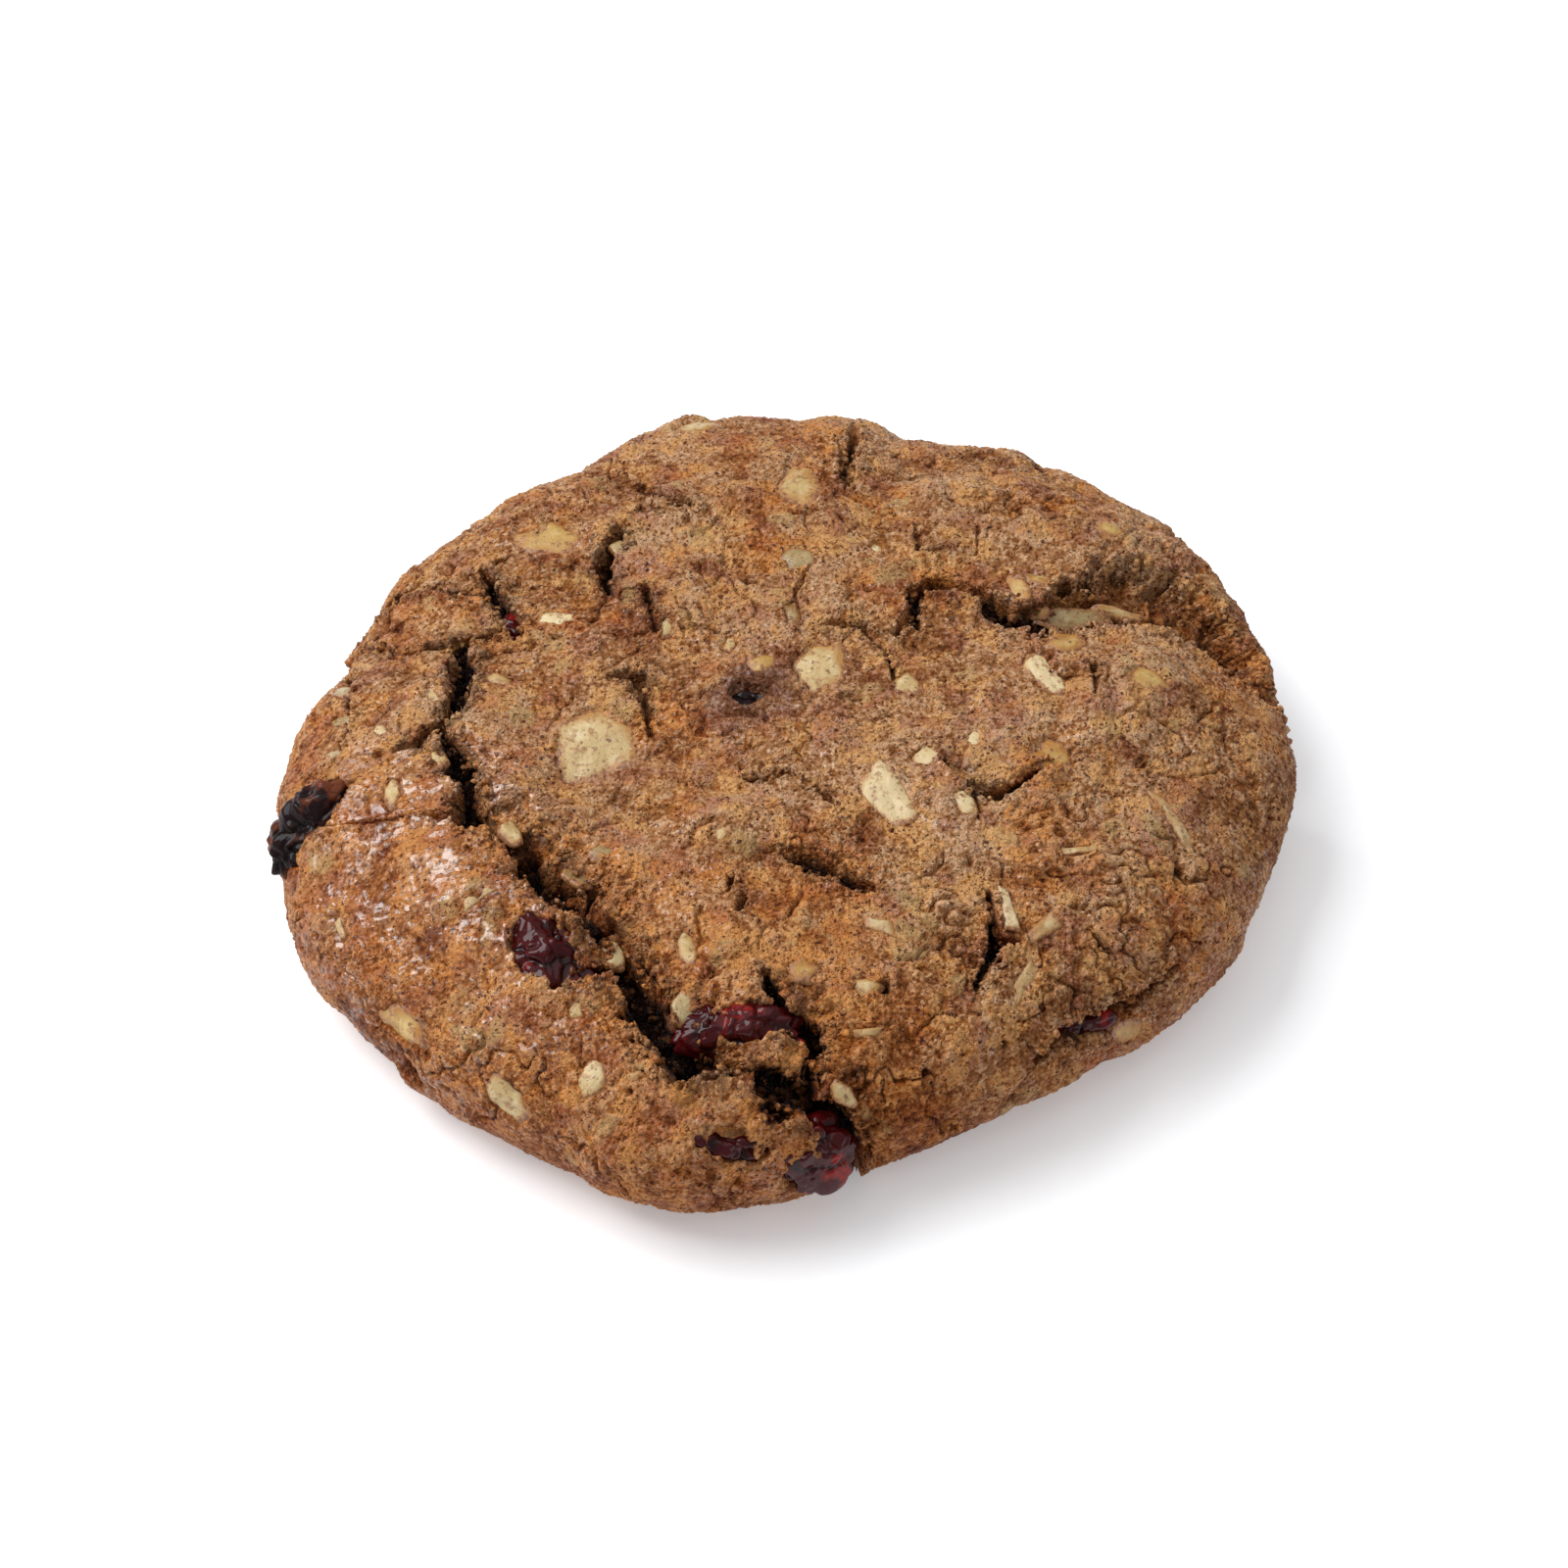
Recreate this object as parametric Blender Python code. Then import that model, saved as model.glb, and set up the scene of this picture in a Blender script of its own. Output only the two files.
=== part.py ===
"""A thick, cracked oat and nut cookie with dried fruit in it.

The crust is one flat sheet, wrapped over a crown, a rounded shoulder and a wall that curves in to
the base. A place on the sheet is (x, y) in millimetres, measured over the crust from the crown, so
near the middle it is also the place in plan. Cracks, mounds, flakes and fruit are all placed on the
sheet. The object is built in metres, with +Z up, standing on z = 0.

Run it with: blender --background --python part.py
"""

import math

import bmesh
import bpy
import numpy as np
from mathutils import Matrix, Vector

MM = 0.001

# Main sizes, in millimetres.
RADIUS_X = 43.2
RADIUS_Y = 42.4
PLATE_HEIGHT = 18.5
WIDEST_HEIGHT = 8.0
BASE_INSET = 6.0
PLAN_SQUARENESS = 3.2
CROWN_SQUARENESS = 2.3
CENTRE_SHIFT = (-0.82, 0.32)

# Swellings and dips of the outline: azimuth and spread in degrees, then millimetres outwards.
OUTLINE_SWELLS = (
    (35, 32, 3.2),
    (302, 24, -3.2),
    (330, 14, -0.3),
    (222, 24, 1.4),
    (203, 8, 0.7),
    (259, 14, 2.6),
    (143, 28, -2.0),
    (121, 7, -1.4),
    (98, 12, 1.0),
    (71, 7, -2.6),
    (161, 8, -1.4),
    (2, 13, 1.2),
    (10, 5, -1.6),
    (192, 12, 0.6),
)

# Mounds and hollows of the crown: centre x, y, length and width radius, turn in degrees, height.
MOUNDS = (
    (-22.5, -24.0, 17.0, 6.5, -54.0, 2.4),
    (-14.0, -13.5, 13.0, 4.5, -54.0, -1.3),
    (33.0, 3.5, 11.0, 6.5, 0.0, 1.3),
    (26.0, 23.0, 14.0, 6.0, -15.0, 1.5),
    (14.0, -33.0, 12.0, 6.5, 10.0, 1.2),
    (4.0, 35.0, 16.0, 6.0, 0.0, 0.6),
    (-26.0, 24.0, 9.0, 6.5, 40.0, 1.0),
    (-34.5, 1.0, 7.0, 5.0, 80.0, 0.8),
    (-1.0, 4.0, 14.0, 11.0, 0.0, -0.9),
)

# Cracks. Each is a line of points: place on the sheet, half width and depth there.
CRACKS = {
    "fissure_upper": (
        (-43.5, 13.5, 0.8, 1.0),
        (-36.2, 8.9, 0.8, 1.6),
        (-30.5, 8.5, 0.9, 2.0),
        (-28.0, 4.7, 1.3, 3.2),
        (-27.5, 0.6, 1.3, 3.5),
        (-29.8, -3.1, 1.1, 3.0),
    ),
    "fissure": (
        (-29.8, -3.1, 1.1, 3.0),
        (-26.5, -8.0, 1.5, 4.5),
        (-25.6, -12.0, 1.7, 5.0),
        (-21.8, -15.8, 2.0, 6.5),
        (-17.4, -21.0, 2.3, 7.5),
        (-14.4, -26.5, 2.2, 7.5),
        (-10.9, -30.8, 2.3, 8.0),
        (-7.8, -34.6, 2.4, 8.0),
        (-3.5, -37.0, 1.8, 6.5),
        (0.3, -39.5, 1.9, 6.5),
        (4.0, -43.5, 1.9, 6.0),
        (6.0, -47.0, 1.8, 6.0),
        (6.2, -53.0, 1.6, 4.5),
        (6.2, -60.0, 1.4, 3.5),
    ),
    "fruit_side": (
        (-1.2, -29.6, 1.0, 3.5),
        (-0.5, -32.5, 1.2, 4.5),
        (1.5, -35.0, 1.3, 5.0),
        (3.2, -36.5, 1.2, 4.5),
        (2.0, -38.5, 1.2, 5.0),
    ),
    "back_left": ((-28.3, 18.0, 1.0, 2.5), (-26.8, 14.0, 1.3, 3.5), (-25.5, 10.5, 1.0, 2.5)),
    "step_back": ((-30.5, 8.5, 0.9, 2.0), (-27.6, 9.2, 0.9, 2.0), (-25.5, 10.5, 0.9, 2.2)),
    "shelf": (
        (-44.0, 14.8, 0.8, 1.2),
        (-40.9, 17.5, 0.9, 1.4),
        (-36.0, 17.6, 0.9, 1.4),
        (-30.2, 15.0, 0.8, 1.0),
    ),
    "back_notch": (
        (7.6, 47.0, 1.3, 2.5),
        (6.6, 35.0, 1.3, 3.0),
        (6.1, 31.0, 1.0, 2.2),
        (6.4, 28.5, 0.7, 1.2),
    ),
    "cleft": (
        (11.1, 9.1, 0.8, 1.5),
        (11.2, 12.7, 0.8, 1.8),
        (14.0, 13.9, 0.9, 1.8),
        (16.2, 12.6, 0.9, 2.0),
        (19.1, 9.2, 1.3, 3.2),
        (21.5, 9.0, 1.8, 4.0),
        (25.8, 11.0, 2.9, 4.8),
        (31.5, 13.0, 4.0, 5.2),
        (36.9, 11.2, 2.6, 5.0),
        (41.0, 8.4, 2.0, 5.0),
        (44.5, 6.8, 1.8, 4.5),
        (52.0, 6.0, 1.6, 3.5),
    ),
    "right_curve": (
        (13.9, -7.6, 0.7, 1.0),
        (17.0, -11.0, 1.0, 1.8),
        (19.2, -11.0, 1.1, 2.0),
        (23.8, -5.8, 0.8, 1.2),
    ),
    "front_short": ((0.6, -17.4, 0.7, 1.2), (4.0, -20.0, 1.0, 1.8), (7.6, -22.3, 0.7, 1.0)),
    "sliver_pit": ((18.7, -23.4, 0.7, 1.2), (19.2, -26.4, 1.0, 2.2), (17.8, -32.3, 0.7, 1.2)),
    "plate_left": ((-14.3, 2.2, 0.7, 1.2), (-12.4, 1.2, 0.8, 1.4), (-10.9, -3.5, 0.7, 1.0)),
    "plate_back": ((-16.2, 22.2, 1.0, 2.0), (-17.1, 16.0, 0.9, 1.8), (-15.6, 13.6, 0.8, 1.4)),
    "plate_rear": ((-13.4, 29.3, 0.7, 1.2), (-9.8, 25.7, 0.8, 1.4), (-8.3, 24.7, 0.7, 1.0)),
    "overhang": (
        (25.0, -36.6, 1.0, 2.0),
        (28.5, -35.2, 1.4, 3.0),
        (31.2, -33.1, 1.5, 3.2),
        (33.9, -29.1, 1.0, 1.8),
    ),
}
FAR_SIDE = 1.35
RAGGEDNESS = 0.3
LIP = 0.1

# Dried fruit: place on the sheet, half length, half width, half thickness, turn in degrees in the
# surface, and how far its middle lies below the crust.
FRUITS = {
    "raisin_rim": ((-40.4, -9.9), 4.6, 3.2, 2.6, 35.0, 0.9),
    "raisin_centre": ((-2.5, 0.3), 2.9, 2.3, 1.6, 20.0, 1.3),
    "cranberry_lobe": ((-19.2, -27.2), 4.4, 3.2, 2.0, -50.0, 1.6),
    "cranberry_fissure": ((-3.2, -33.4), 5.0, 2.6, 2.6, -20.0, 2.1),
    "cranberry_front": ((2.6, -47.6), 3.4, 3.0, 2.2, 0.0, 1.4),
    "cranberry_strip": ((-4.2, -43.4), 3.2, 1.3, 1.6, -25.0, 1.1),
    "cranberry_back": ((-25.9, 12.6), 1.9, 1.2, 1.3, 75.0, 3.2),
    "cranberry_notch": ((30.2, -34.6), 2.6, 1.4, 1.6, 30.0, 2.4),
}
FRUIT_GAP = 0.32
FRUIT_COLOURS = {"raisin": (0.035, 0.018, 0.022), "cranberry": (0.16, 0.012, 0.014)}

# Pale flakes, chips and slivers: place on the sheet, length, width, turn in degrees.
FLAKES = (
    ((-15.5, -4.7), 7.3, 6.7, -8),
    ((9.6, -12.0), 8.0, 4.0, -63),
    ((4.2, 3.8), 6.8, 4.2, 89),
    ((-22.5, 22.3), 7.1, 4.6, -19),
    ((1.6, 28.3), 7.2, 4.1, 88),
    ((1.5, 17.4), 3.4, 3.0, 24),
    ((22.8, -6.3), 3.9, 3.3, 80),
    ((-20.9, 10.9), 4.2, 2.0, -4),
    ((21.9, 2.3), 3.9, 1.5, -69),
    ((23.8, 6.1), 3.4, 2.6, 15),
    ((30.1, 1.8), 3.1, 2.8, 3),
    ((19.6, 12.6), 4.2, 3.2, -78),
    ((12.6, -7.0), 2.5, 2.3, -65),
    ((16.2, -12.7), 3.5, 1.6, -71),
    ((33.6, -12.1), 6.6, 1.3, -54),
    ((26.1, -16.8), 5.0, 0.9, 14),
    ((20.4, -24.4), 4.7, 1.0, -76),
    ((23.5, -26.0), 3.8, 1.5, 49),
    ((21.9, -31.8), 4.8, 1.4, 62),
    ((8.6, -26.6), 3.1, 1.5, -18),
    ((10.5, 1.9), 2.8, 2.3, -57),
    ((-24.8, -22.4), 2.7, 1.2, 42),
    ((-23.4, -38.7), 5.0, 3.6, -53),
    ((-15.0, -37.7), 3.0, 2.4, 57),
    ((-32.6, -30.7), 5.9, 3.1, -36),
    ((-15.0, -18.0), 5.0, 3.4, -80),
    ((-7.4, -26.0), 3.8, 1.7, -79),
    ((5.4, -31.0), 2.9, 2.0, -34),
    ((8.4, -39.8), 3.3, 1.6, -43),
    ((-32.4, -9.6), 3.5, 1.3, -83),
    ((-25.0, 3.1), 2.8, 1.9, -25),
    ((-1.8, 5.4), 3.0, 2.4, 11),
    ((1.0, 10.1), 3.0, 1.4, -82),
    ((27.7, 20.4), 2.5, 2.1, -43),
    ((-39.6, 4.5), 3.8, 1.4, -41),
    ((-38.8, -0.6), 3.4, 1.3, -25),
    ((36.6, -35.0), 6.0, 2.8, 9),
    ((-8.0, 38.0), 4.4, 3.0, 20),
    ((24.0, 43.0), 4.8, 2.4, -35),
    ((-30.0, 38.5), 3.6, 3.2, 50),
    ((49.0, -5.0), 4.2, 2.2, 80),
    ((2.0, 52.0), 5.0, 2.8, 5),
    ((-48.0, 22.0), 3.4, 2.8, -60),
)
FLAKE_THICKNESS = 1.3
FLAKE_SINK = 0.22
DOUGH_COLOUR = (0.34, 0.165, 0.075)

# Resolution of the solids.
SHEET_CELLS = 150
DOUGH_TRIANGLES = 4700
FLAKE_SIDES = 6
FLAKE_RINGS = 4
BASE_SNAP = 0.05
LARGE_FRUIT = 4.0
LUMPS = ((9.0, 0.55, 11), (4.2, 0.30, 12))


def lattice_noise(points, cell, seed):
    """Smooth noise from -1 to 1: a random value at each corner of a cubic lattice, blended between."""
    place = points / cell
    corner = np.floor(place)
    share = place - corner
    share = share * share * (3 - 2 * share)
    total = np.zeros(len(points))
    for index in range(8):
        step = np.array([index & 1, index >> 1 & 1, index >> 2 & 1])
        phase = (corner + step) @ np.array([127.1, 311.7, 74.7]) + 13.7 * seed
        value = np.sin(phase) * 43758.5453
        weight = np.prod(np.where(step == 1, share, 1 - share), axis=1)
        total += weight * (2 * (value - np.floor(value)) - 1)
    return total


def profile_table(steps=600):
    """The nominal section as (length over the crust, radius, height), crown first, base last."""
    quarter = np.linspace(0, math.pi / 2, steps)
    radius = RADIUS_X * np.sin(quarter) ** (2 / PLAN_SQUARENESS)
    rise = PLATE_HEIGHT - WIDEST_HEIGHT
    height = WIDEST_HEIGHT + rise * np.cos(quarter) ** (2 / CROWN_SQUARENESS)
    under_radius = RADIUS_X - BASE_INSET * (1 - np.cos(quarter[1:]))
    under_height = WIDEST_HEIGHT * (1 - np.sin(quarter[1:]))
    radius = np.concatenate([radius, under_radius])
    height = np.concatenate([height, under_height])
    length = np.concatenate([[0], np.cumsum(np.hypot(np.diff(radius), np.diff(height)))])
    return length, radius, height


PROFILE_LENGTH, PROFILE_RADIUS, PROFILE_HEIGHT = profile_table()
SHEET_RADIUS = PROFILE_LENGTH[-1]


def rim_radius(azimuth):
    """Plan radius of the widest line: an ellipse with the swells of the outline on it."""
    radius = RADIUS_X * RADIUS_Y / np.hypot(RADIUS_Y * np.cos(azimuth), RADIUS_X * np.sin(azimuth))
    for degrees, spread, swell in OUTLINE_SWELLS:
        turn = (azimuth - math.radians(degrees) + math.pi) % (2 * math.pi) - math.pi
        radius = radius + swell * np.exp(-((turn / math.radians(spread)) ** 2))
    return radius


def crown_height(x, y):
    """Height of the crown in plan: the plate with its mounds and hollows."""
    height = np.full(np.shape(x), PLATE_HEIGHT)
    for middle_x, middle_y, length, width, degrees, rise in MOUNDS:
        turn = math.radians(degrees)
        along = (x - middle_x) * math.cos(turn) + (y - middle_y) * math.sin(turn)
        across = (y - middle_y) * math.cos(turn) - (x - middle_x) * math.sin(turn)
        height = height + rise * np.exp(-((along / length) ** 2) - (across / width) ** 2)
    return height


def bare_surface(sheet):
    """Points in space of points on the sheet, before lumps and cracks."""
    length = np.clip(np.hypot(sheet[:, 0], sheet[:, 1]), 0, SHEET_RADIUS)
    azimuth = np.arctan2(sheet[:, 1], sheet[:, 0])
    radius = np.interp(length, PROFILE_LENGTH, PROFILE_RADIUS) * rim_radius(azimuth) / RADIUS_X
    height = np.interp(length, PROFILE_LENGTH, PROFILE_HEIGHT)
    x, y = radius * np.cos(azimuth), radius * np.sin(azimuth)
    share = np.clip((height - WIDEST_HEIGHT) / (PLATE_HEIGHT - WIDEST_HEIGHT), 0, 1)
    crown = WIDEST_HEIGHT + (crown_height(x, y) - WIDEST_HEIGHT) * share
    return np.stack([x, y, np.where(share > 0, crown, height)], axis=1)


def frames(sheet, step=0.25):
    """(point, outward direction, sheet x direction, sheet y direction) at points of the sheet.

    Below the widest line the outward direction is level, so that the base stays flat."""
    half = np.array([[step, 0.0], [0.0, step]])
    length = np.hypot(sheet[:, 0], sheet[:, 1])[:, None]
    inside = sheet * np.minimum(1, (SHEET_RADIUS - step) / np.maximum(length, step))
    along_x = bare_surface(inside + half[0]) - bare_surface(inside - half[0])
    along_y = bare_surface(inside + half[1]) - bare_surface(inside - half[1])
    normal = np.cross(along_x, along_y)
    normal /= np.linalg.norm(normal, axis=1)[:, None]
    along_x /= np.linalg.norm(along_x, axis=1)[:, None]
    along_y = np.cross(normal, along_x)
    point = bare_surface(sheet)
    level = np.stack([point[:, 0], point[:, 1], np.zeros(len(point))], axis=1)
    level /= np.maximum(np.linalg.norm(level, axis=1), 1e-6)[:, None]
    outward = np.where((normal[:, 2] < 0.02)[:, None], level, normal)
    return point, outward, along_x, along_y


def crack_profile(sheet, crack):
    """(distance from the crack over its half width, its depth) at points of the sheet.

    A crack is wider on the side away from the front, so that its far side is less steep."""
    line = np.array(crack)
    best = np.full(len(sheet), np.inf)
    depth = np.zeros(len(sheet))
    share = np.full(len(sheet), np.inf)
    for start, end in zip(line[:-1], line[1:]):
        run = end[:2] - start[:2]
        along = np.clip((sheet - start[:2]) @ run / (run @ run), 0, 1)
        away = sheet - (start[:2] + along[:, None] * run)
        distance = np.hypot(away[:, 0], away[:, 1])
        nearer = distance < best
        far_side = 1 + (FAR_SIDE - 1) * np.clip(away[:, 1] / np.maximum(distance, 1e-6), 0, 1)
        half_width = (start[2] + along * (end[2] - start[2])) * far_side
        best = np.where(nearer, distance, best)
        depth = np.where(nearer, start[3] + along * (end[3] - start[3]), depth)
        share = np.where(nearer, distance / half_width, share)
    return share, depth


def crack_depth(sheet):
    """Depth of the cracks below the crust: each is a valley with round lips and ragged sides."""
    depth = np.zeros(len(sheet))
    lip = np.zeros(len(sheet))
    ragged = RAGGEDNESS * lattice_noise(np.pad(sheet, ((0, 0), (0, 1))), 1.7, 5)
    for crack in CRACKS.values():
        share, deep = crack_profile(sheet, crack)
        depth = np.maximum(depth, deep * (1 - np.clip(share + ragged, 0, 1) ** 1.6))
        lip = np.maximum(lip, LIP * deep * np.exp(-((share - 1.5) ** 2)))
    return depth - lip


def crust(sheet):
    """Points in space of the finished crust: the bare surface with its lumps and cracks."""
    point, outward, _, _ = frames(sheet)
    relief = -crack_depth(sheet)
    for cell, size, seed in LUMPS:
        relief = relief + size * lattice_noise(point, cell, seed)
    return point + outward * relief[:, None]


def sheet_of_square(square):
    """Points of the square from -1 to 1 spread evenly over the round sheet."""
    u, v = square[:, 0], square[:, 1]
    wide = np.abs(u) > np.abs(v)
    longer = np.where(wide, u, v)
    shorter = np.where(wide, v, u)
    ratio = shorter / np.where(longer == 0, 1, longer)
    turn = np.where(wide, math.pi / 4 * ratio, math.pi / 2 - math.pi / 4 * ratio)
    return SHEET_RADIUS * np.stack([longer * np.cos(turn), longer * np.sin(turn)], axis=1)


def material(name, colour, roughness):
    """A plain material of one colour."""
    made = bpy.data.materials.new(name)
    made.use_nodes = True
    shader = made.node_tree.nodes["Principled BSDF"]
    shader.inputs["Base Color"].default_value = (*colour, 1.0)
    shader.inputs["Roughness"].default_value = roughness
    shader.inputs["Metallic"].default_value = 0.0
    return made


def vertices_of(mesh):
    """The mesh's vertices as an array, in millimetres."""
    found = np.empty(len(mesh.vertices) * 3, np.float32)
    mesh.vertices.foreach_get("co", found)
    return found.reshape(-1, 3).astype(float) / MM


def move_vertices(mesh, points):
    """Puts the mesh's vertices at these points, given in millimetres."""
    shift = np.array([*CENTRE_SHIFT, 0.0])
    mesh.vertices.foreach_set("co", ((points + shift) * MM).astype(np.float32).ravel())
    mesh.update()


def make_dough(parts, dough_material):
    """The dough: a square grid wrapped over the cookie, and one flat face below."""
    bpy.ops.mesh.primitive_grid_add(x_subdivisions=SHEET_CELLS, y_subdivisions=SHEET_CELLS, size=2 * MM)
    dough = bpy.context.object
    dough.name = "cookie"
    dough.data.name = "cookie"
    sheet = sheet_of_square(vertices_of(dough.data)[:, :2])
    move_vertices(dough.data, crust(sheet))
    flat = bmesh.new()
    flat.from_mesh(dough.data)
    rim = [edge for edge in flat.edges if edge.is_boundary]
    for vertex in {v for edge in rim for v in edge.verts}:
        vertex.co.z = 0.0
    bmesh.ops.edgeloop_fill(flat, edges=rim)
    bmesh.ops.recalc_face_normals(flat, faces=flat.faces)
    flat.to_mesh(dough.data)
    flat.free()
    dough.data.materials.append(dough_material)
    for holder in dough.users_collection:
        holder.objects.unlink(dough)
    parts.objects.link(dough)
    return dough


def add_body(name, shape, collection, body_material):
    """A new object that holds this bmesh."""
    mesh = bpy.data.meshes.new(name)
    shape.to_mesh(mesh)
    shape.free()
    mesh.materials.append(body_material)
    body = bpy.data.objects.new(name, mesh)
    collection.objects.link(body)
    return body


def placed(place, degrees, sink):
    """The matrix that lays a shape in the crust: x and y in the surface, z outwards, in metres."""
    point, outward, along_x, along_y = (v[0] for v in frames(np.array([place], float)))
    turn = math.radians(degrees)
    length_way = math.cos(turn) * along_x + math.sin(turn) * along_y
    normal = np.cross(along_x, along_y)
    width_way = np.cross(normal, length_way)
    centre = point - outward * sink + np.array([*CENTRE_SHIFT, 0.0])
    turned = Matrix([length_way, width_way, normal]).transposed().to_4x4()
    return Matrix.Translation(Vector(centre * MM)) @ turned


def make_flake(name, place, length, width, degrees, collection, dough_material):
    """A flake: a flattened round body, half sunk in the crust."""
    shape = bmesh.new()
    bmesh.ops.create_uvsphere(shape, u_segments=FLAKE_SIDES, v_segments=FLAKE_RINGS, radius=0.5)
    size = Matrix.Diagonal((length * MM, width * MM, FLAKE_THICKNESS * MM, 1.0))
    below = crack_depth(np.array([place], float))[0]
    bmesh.ops.transform(shape, matrix=placed(place, degrees, below + FLAKE_SINK) @ size, verts=shape.verts)
    return add_body(name, shape, collection, dough_material)


def make_fruit(name, collection, body_material, grow=0.0):
    """A dried fruit: a wrinkled, flattened ball. grow makes it fatter all round, for its pocket."""
    place, length, width, thickness, degrees, sink = FRUITS[name]
    shape = bmesh.new()
    bmesh.ops.create_icosphere(shape, subdivisions=3 if length > LARGE_FRUIT else 2, radius=1.0)
    ball = np.array([v.co for v in shape.verts])
    seed = sorted(FRUITS).index(name)
    wrinkle = 1 + 0.14 * lattice_noise(ball + 5, 0.8, seed) + 0.07 * lattice_noise(ball, 0.4, seed)
    half_sizes = np.array([length, width, thickness]) + grow
    for vertex, point in zip(shape.verts, ball * wrinkle[:, None] * half_sizes * MM):
        vertex.co = point
    bmesh.ops.transform(shape, matrix=placed(place, degrees, sink), verts=shape.verts)
    return add_body(name, shape, collection, body_material)


def join_and_cut(dough, flakes, pockets):
    """Joins the flakes to the dough and cuts the fruit's pockets, then keeps the one body left."""
    thin = dough.modifiers.new("fewer_faces", "DECIMATE")
    thin.ratio = DOUGH_TRIANGLES / (2 * SHEET_CELLS**2)
    for name, operation, others in (("join", "UNION", flakes), ("cut", "DIFFERENCE", pockets)):
        boolean = dough.modifiers.new(name, "BOOLEAN")
        boolean.operation = operation
        boolean.operand_type = "COLLECTION"
        boolean.collection = others
        boolean.solver = "EXACT"
    graph = bpy.context.evaluated_depsgraph_get()
    finished = bpy.data.meshes.new_from_object(dough.evaluated_get(graph))
    dough.modifiers.clear()
    dough.data = finished
    dough.data.name = "cookie"
    for others in (flakes, pockets):
        for helper in list(others.objects):
            bpy.data.objects.remove(helper)
        bpy.data.collections.remove(others)


def face_island(start, left):
    """The faces reached from this one over edges with just two faces, taken out of the set left."""
    left.discard(start)
    island = [start]
    for face in island:
        for edge in face.edges:
            near = left.intersection(edge.link_faces) if len(edge.link_faces) == 2 else ()
            left.difference_update(near)
            island.extend(near)
    return island


def clean_body(dough):
    """Removes loose scraps and pinched folds beside the main body, and levels the base."""
    body = bmesh.new()
    body.from_mesh(dough.data)
    left = set(body.faces)
    islands = []
    for face in body.faces:
        if face in left:
            islands.append(face_island(face, left))
    islands.sort(key=len)
    for island in islands[:-1]:
        bmesh.ops.delete(body, geom=island, context="FACES")
    for vertex in body.verts:
        if vertex.co.z < BASE_SNAP * MM:
            vertex.co.z = 0.0
    body.to_mesh(dough.data)
    body.free()


def new_collection(name, helper=False):
    """A collection in the scene, hidden from the render if it only holds helpers."""
    made = bpy.data.collections.new(name)
    made.hide_render = helper
    bpy.context.scene.collection.children.link(made)
    return made


def main():
    """Builds the cookie and its fruit."""
    for obj in list(bpy.data.objects):
        bpy.data.objects.remove(obj)
    parts = new_collection("peanut_cookie")
    flakes = new_collection("flakes", helper=True)
    pockets = new_collection("fruit_pockets", helper=True)
    dough_material = material("dough", DOUGH_COLOUR, 0.75)
    fruit_materials = {kind: material(kind, colour, 0.3) for kind, colour in FRUIT_COLOURS.items()}

    dough = make_dough(parts, dough_material)
    for number, (place, length, width, degrees) in enumerate(FLAKES):
        make_flake(f"flake_{number:02d}", place, length, width, degrees, flakes, dough_material)
    for name in FRUITS:
        make_fruit(name, pockets, dough_material, grow=FRUIT_GAP)
    join_and_cut(dough, flakes, pockets)
    clean_body(dough)
    for name in FRUITS:
        make_fruit(name, parts, fruit_materials[name.split("_")[0]])


main()
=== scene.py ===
"""Looks of a thick, cracked oat and nut cookie with dried fruit in it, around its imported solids.

The crust is one flat sheet wrapped over a crown, a round shoulder and a wall that curves in to the
base. A place on the sheet is (x, y) in millimetres, measured over the crust from the crown. The
dough, its cracks and pits, and every flake, crumb and fruit are worked out on that sheet, so they
always meet. Shapes are computed in millimetres and put into the meshes in metres.
"""

from __future__ import annotations

import logging
import math
from dataclasses import dataclass
from enum import Enum
from itertools import combinations

import bpy
import numpy as np
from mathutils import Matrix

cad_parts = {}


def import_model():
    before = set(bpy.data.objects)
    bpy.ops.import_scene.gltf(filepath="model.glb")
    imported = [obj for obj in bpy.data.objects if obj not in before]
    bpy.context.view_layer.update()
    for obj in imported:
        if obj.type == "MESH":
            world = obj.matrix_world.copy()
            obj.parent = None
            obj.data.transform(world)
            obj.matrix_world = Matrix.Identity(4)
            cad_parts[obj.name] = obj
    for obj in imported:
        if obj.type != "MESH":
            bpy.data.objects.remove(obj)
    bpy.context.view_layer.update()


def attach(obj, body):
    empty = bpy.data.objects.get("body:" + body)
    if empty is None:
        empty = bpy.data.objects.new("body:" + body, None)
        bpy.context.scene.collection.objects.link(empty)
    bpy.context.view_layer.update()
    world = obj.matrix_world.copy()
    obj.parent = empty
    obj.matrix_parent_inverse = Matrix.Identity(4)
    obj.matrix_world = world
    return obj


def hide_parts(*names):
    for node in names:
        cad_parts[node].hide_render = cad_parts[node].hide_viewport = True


LOG = logging.getLogger("cookie")
MM = 0.001
BODY = "root"
FOLD_MEAN = 0.25  # About the mean of the absolute value of noise, so that folds don't lift the crust.
CENTRE_SHIFT = np.array([-0.82, 0.32, 0.0])
Array = np.ndarray
Colour = tuple[float, float, float]
Socket = bpy.types.NodeSocket


# ---- Noise and small helpers ----


def corner_values(corner: Array, seed: int) -> Array:
    """Gives each corner of the lattice its own value from -1 to 1, by mixing the bits of its place.

    Args:
        corner: Whole-number lattice places, one row each.
        seed: Which of many unrelated patterns is wanted.

    Returns:
        One value for each row.
    """
    whole = corner.astype(np.int64)
    mixed = whole[:, 0] * 73856093 ^ whole[:, 1] * 19349663 ^ whole[:, 2] * 83492791 ^ seed * 2654435761
    mixed = (mixed ^ (mixed >> 13)) * 1274126177 & 0x7FFFFFFF
    mixed = (mixed ^ (mixed >> 16)) & 0xFFFF
    return mixed / 32767.5 - 1.0


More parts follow.
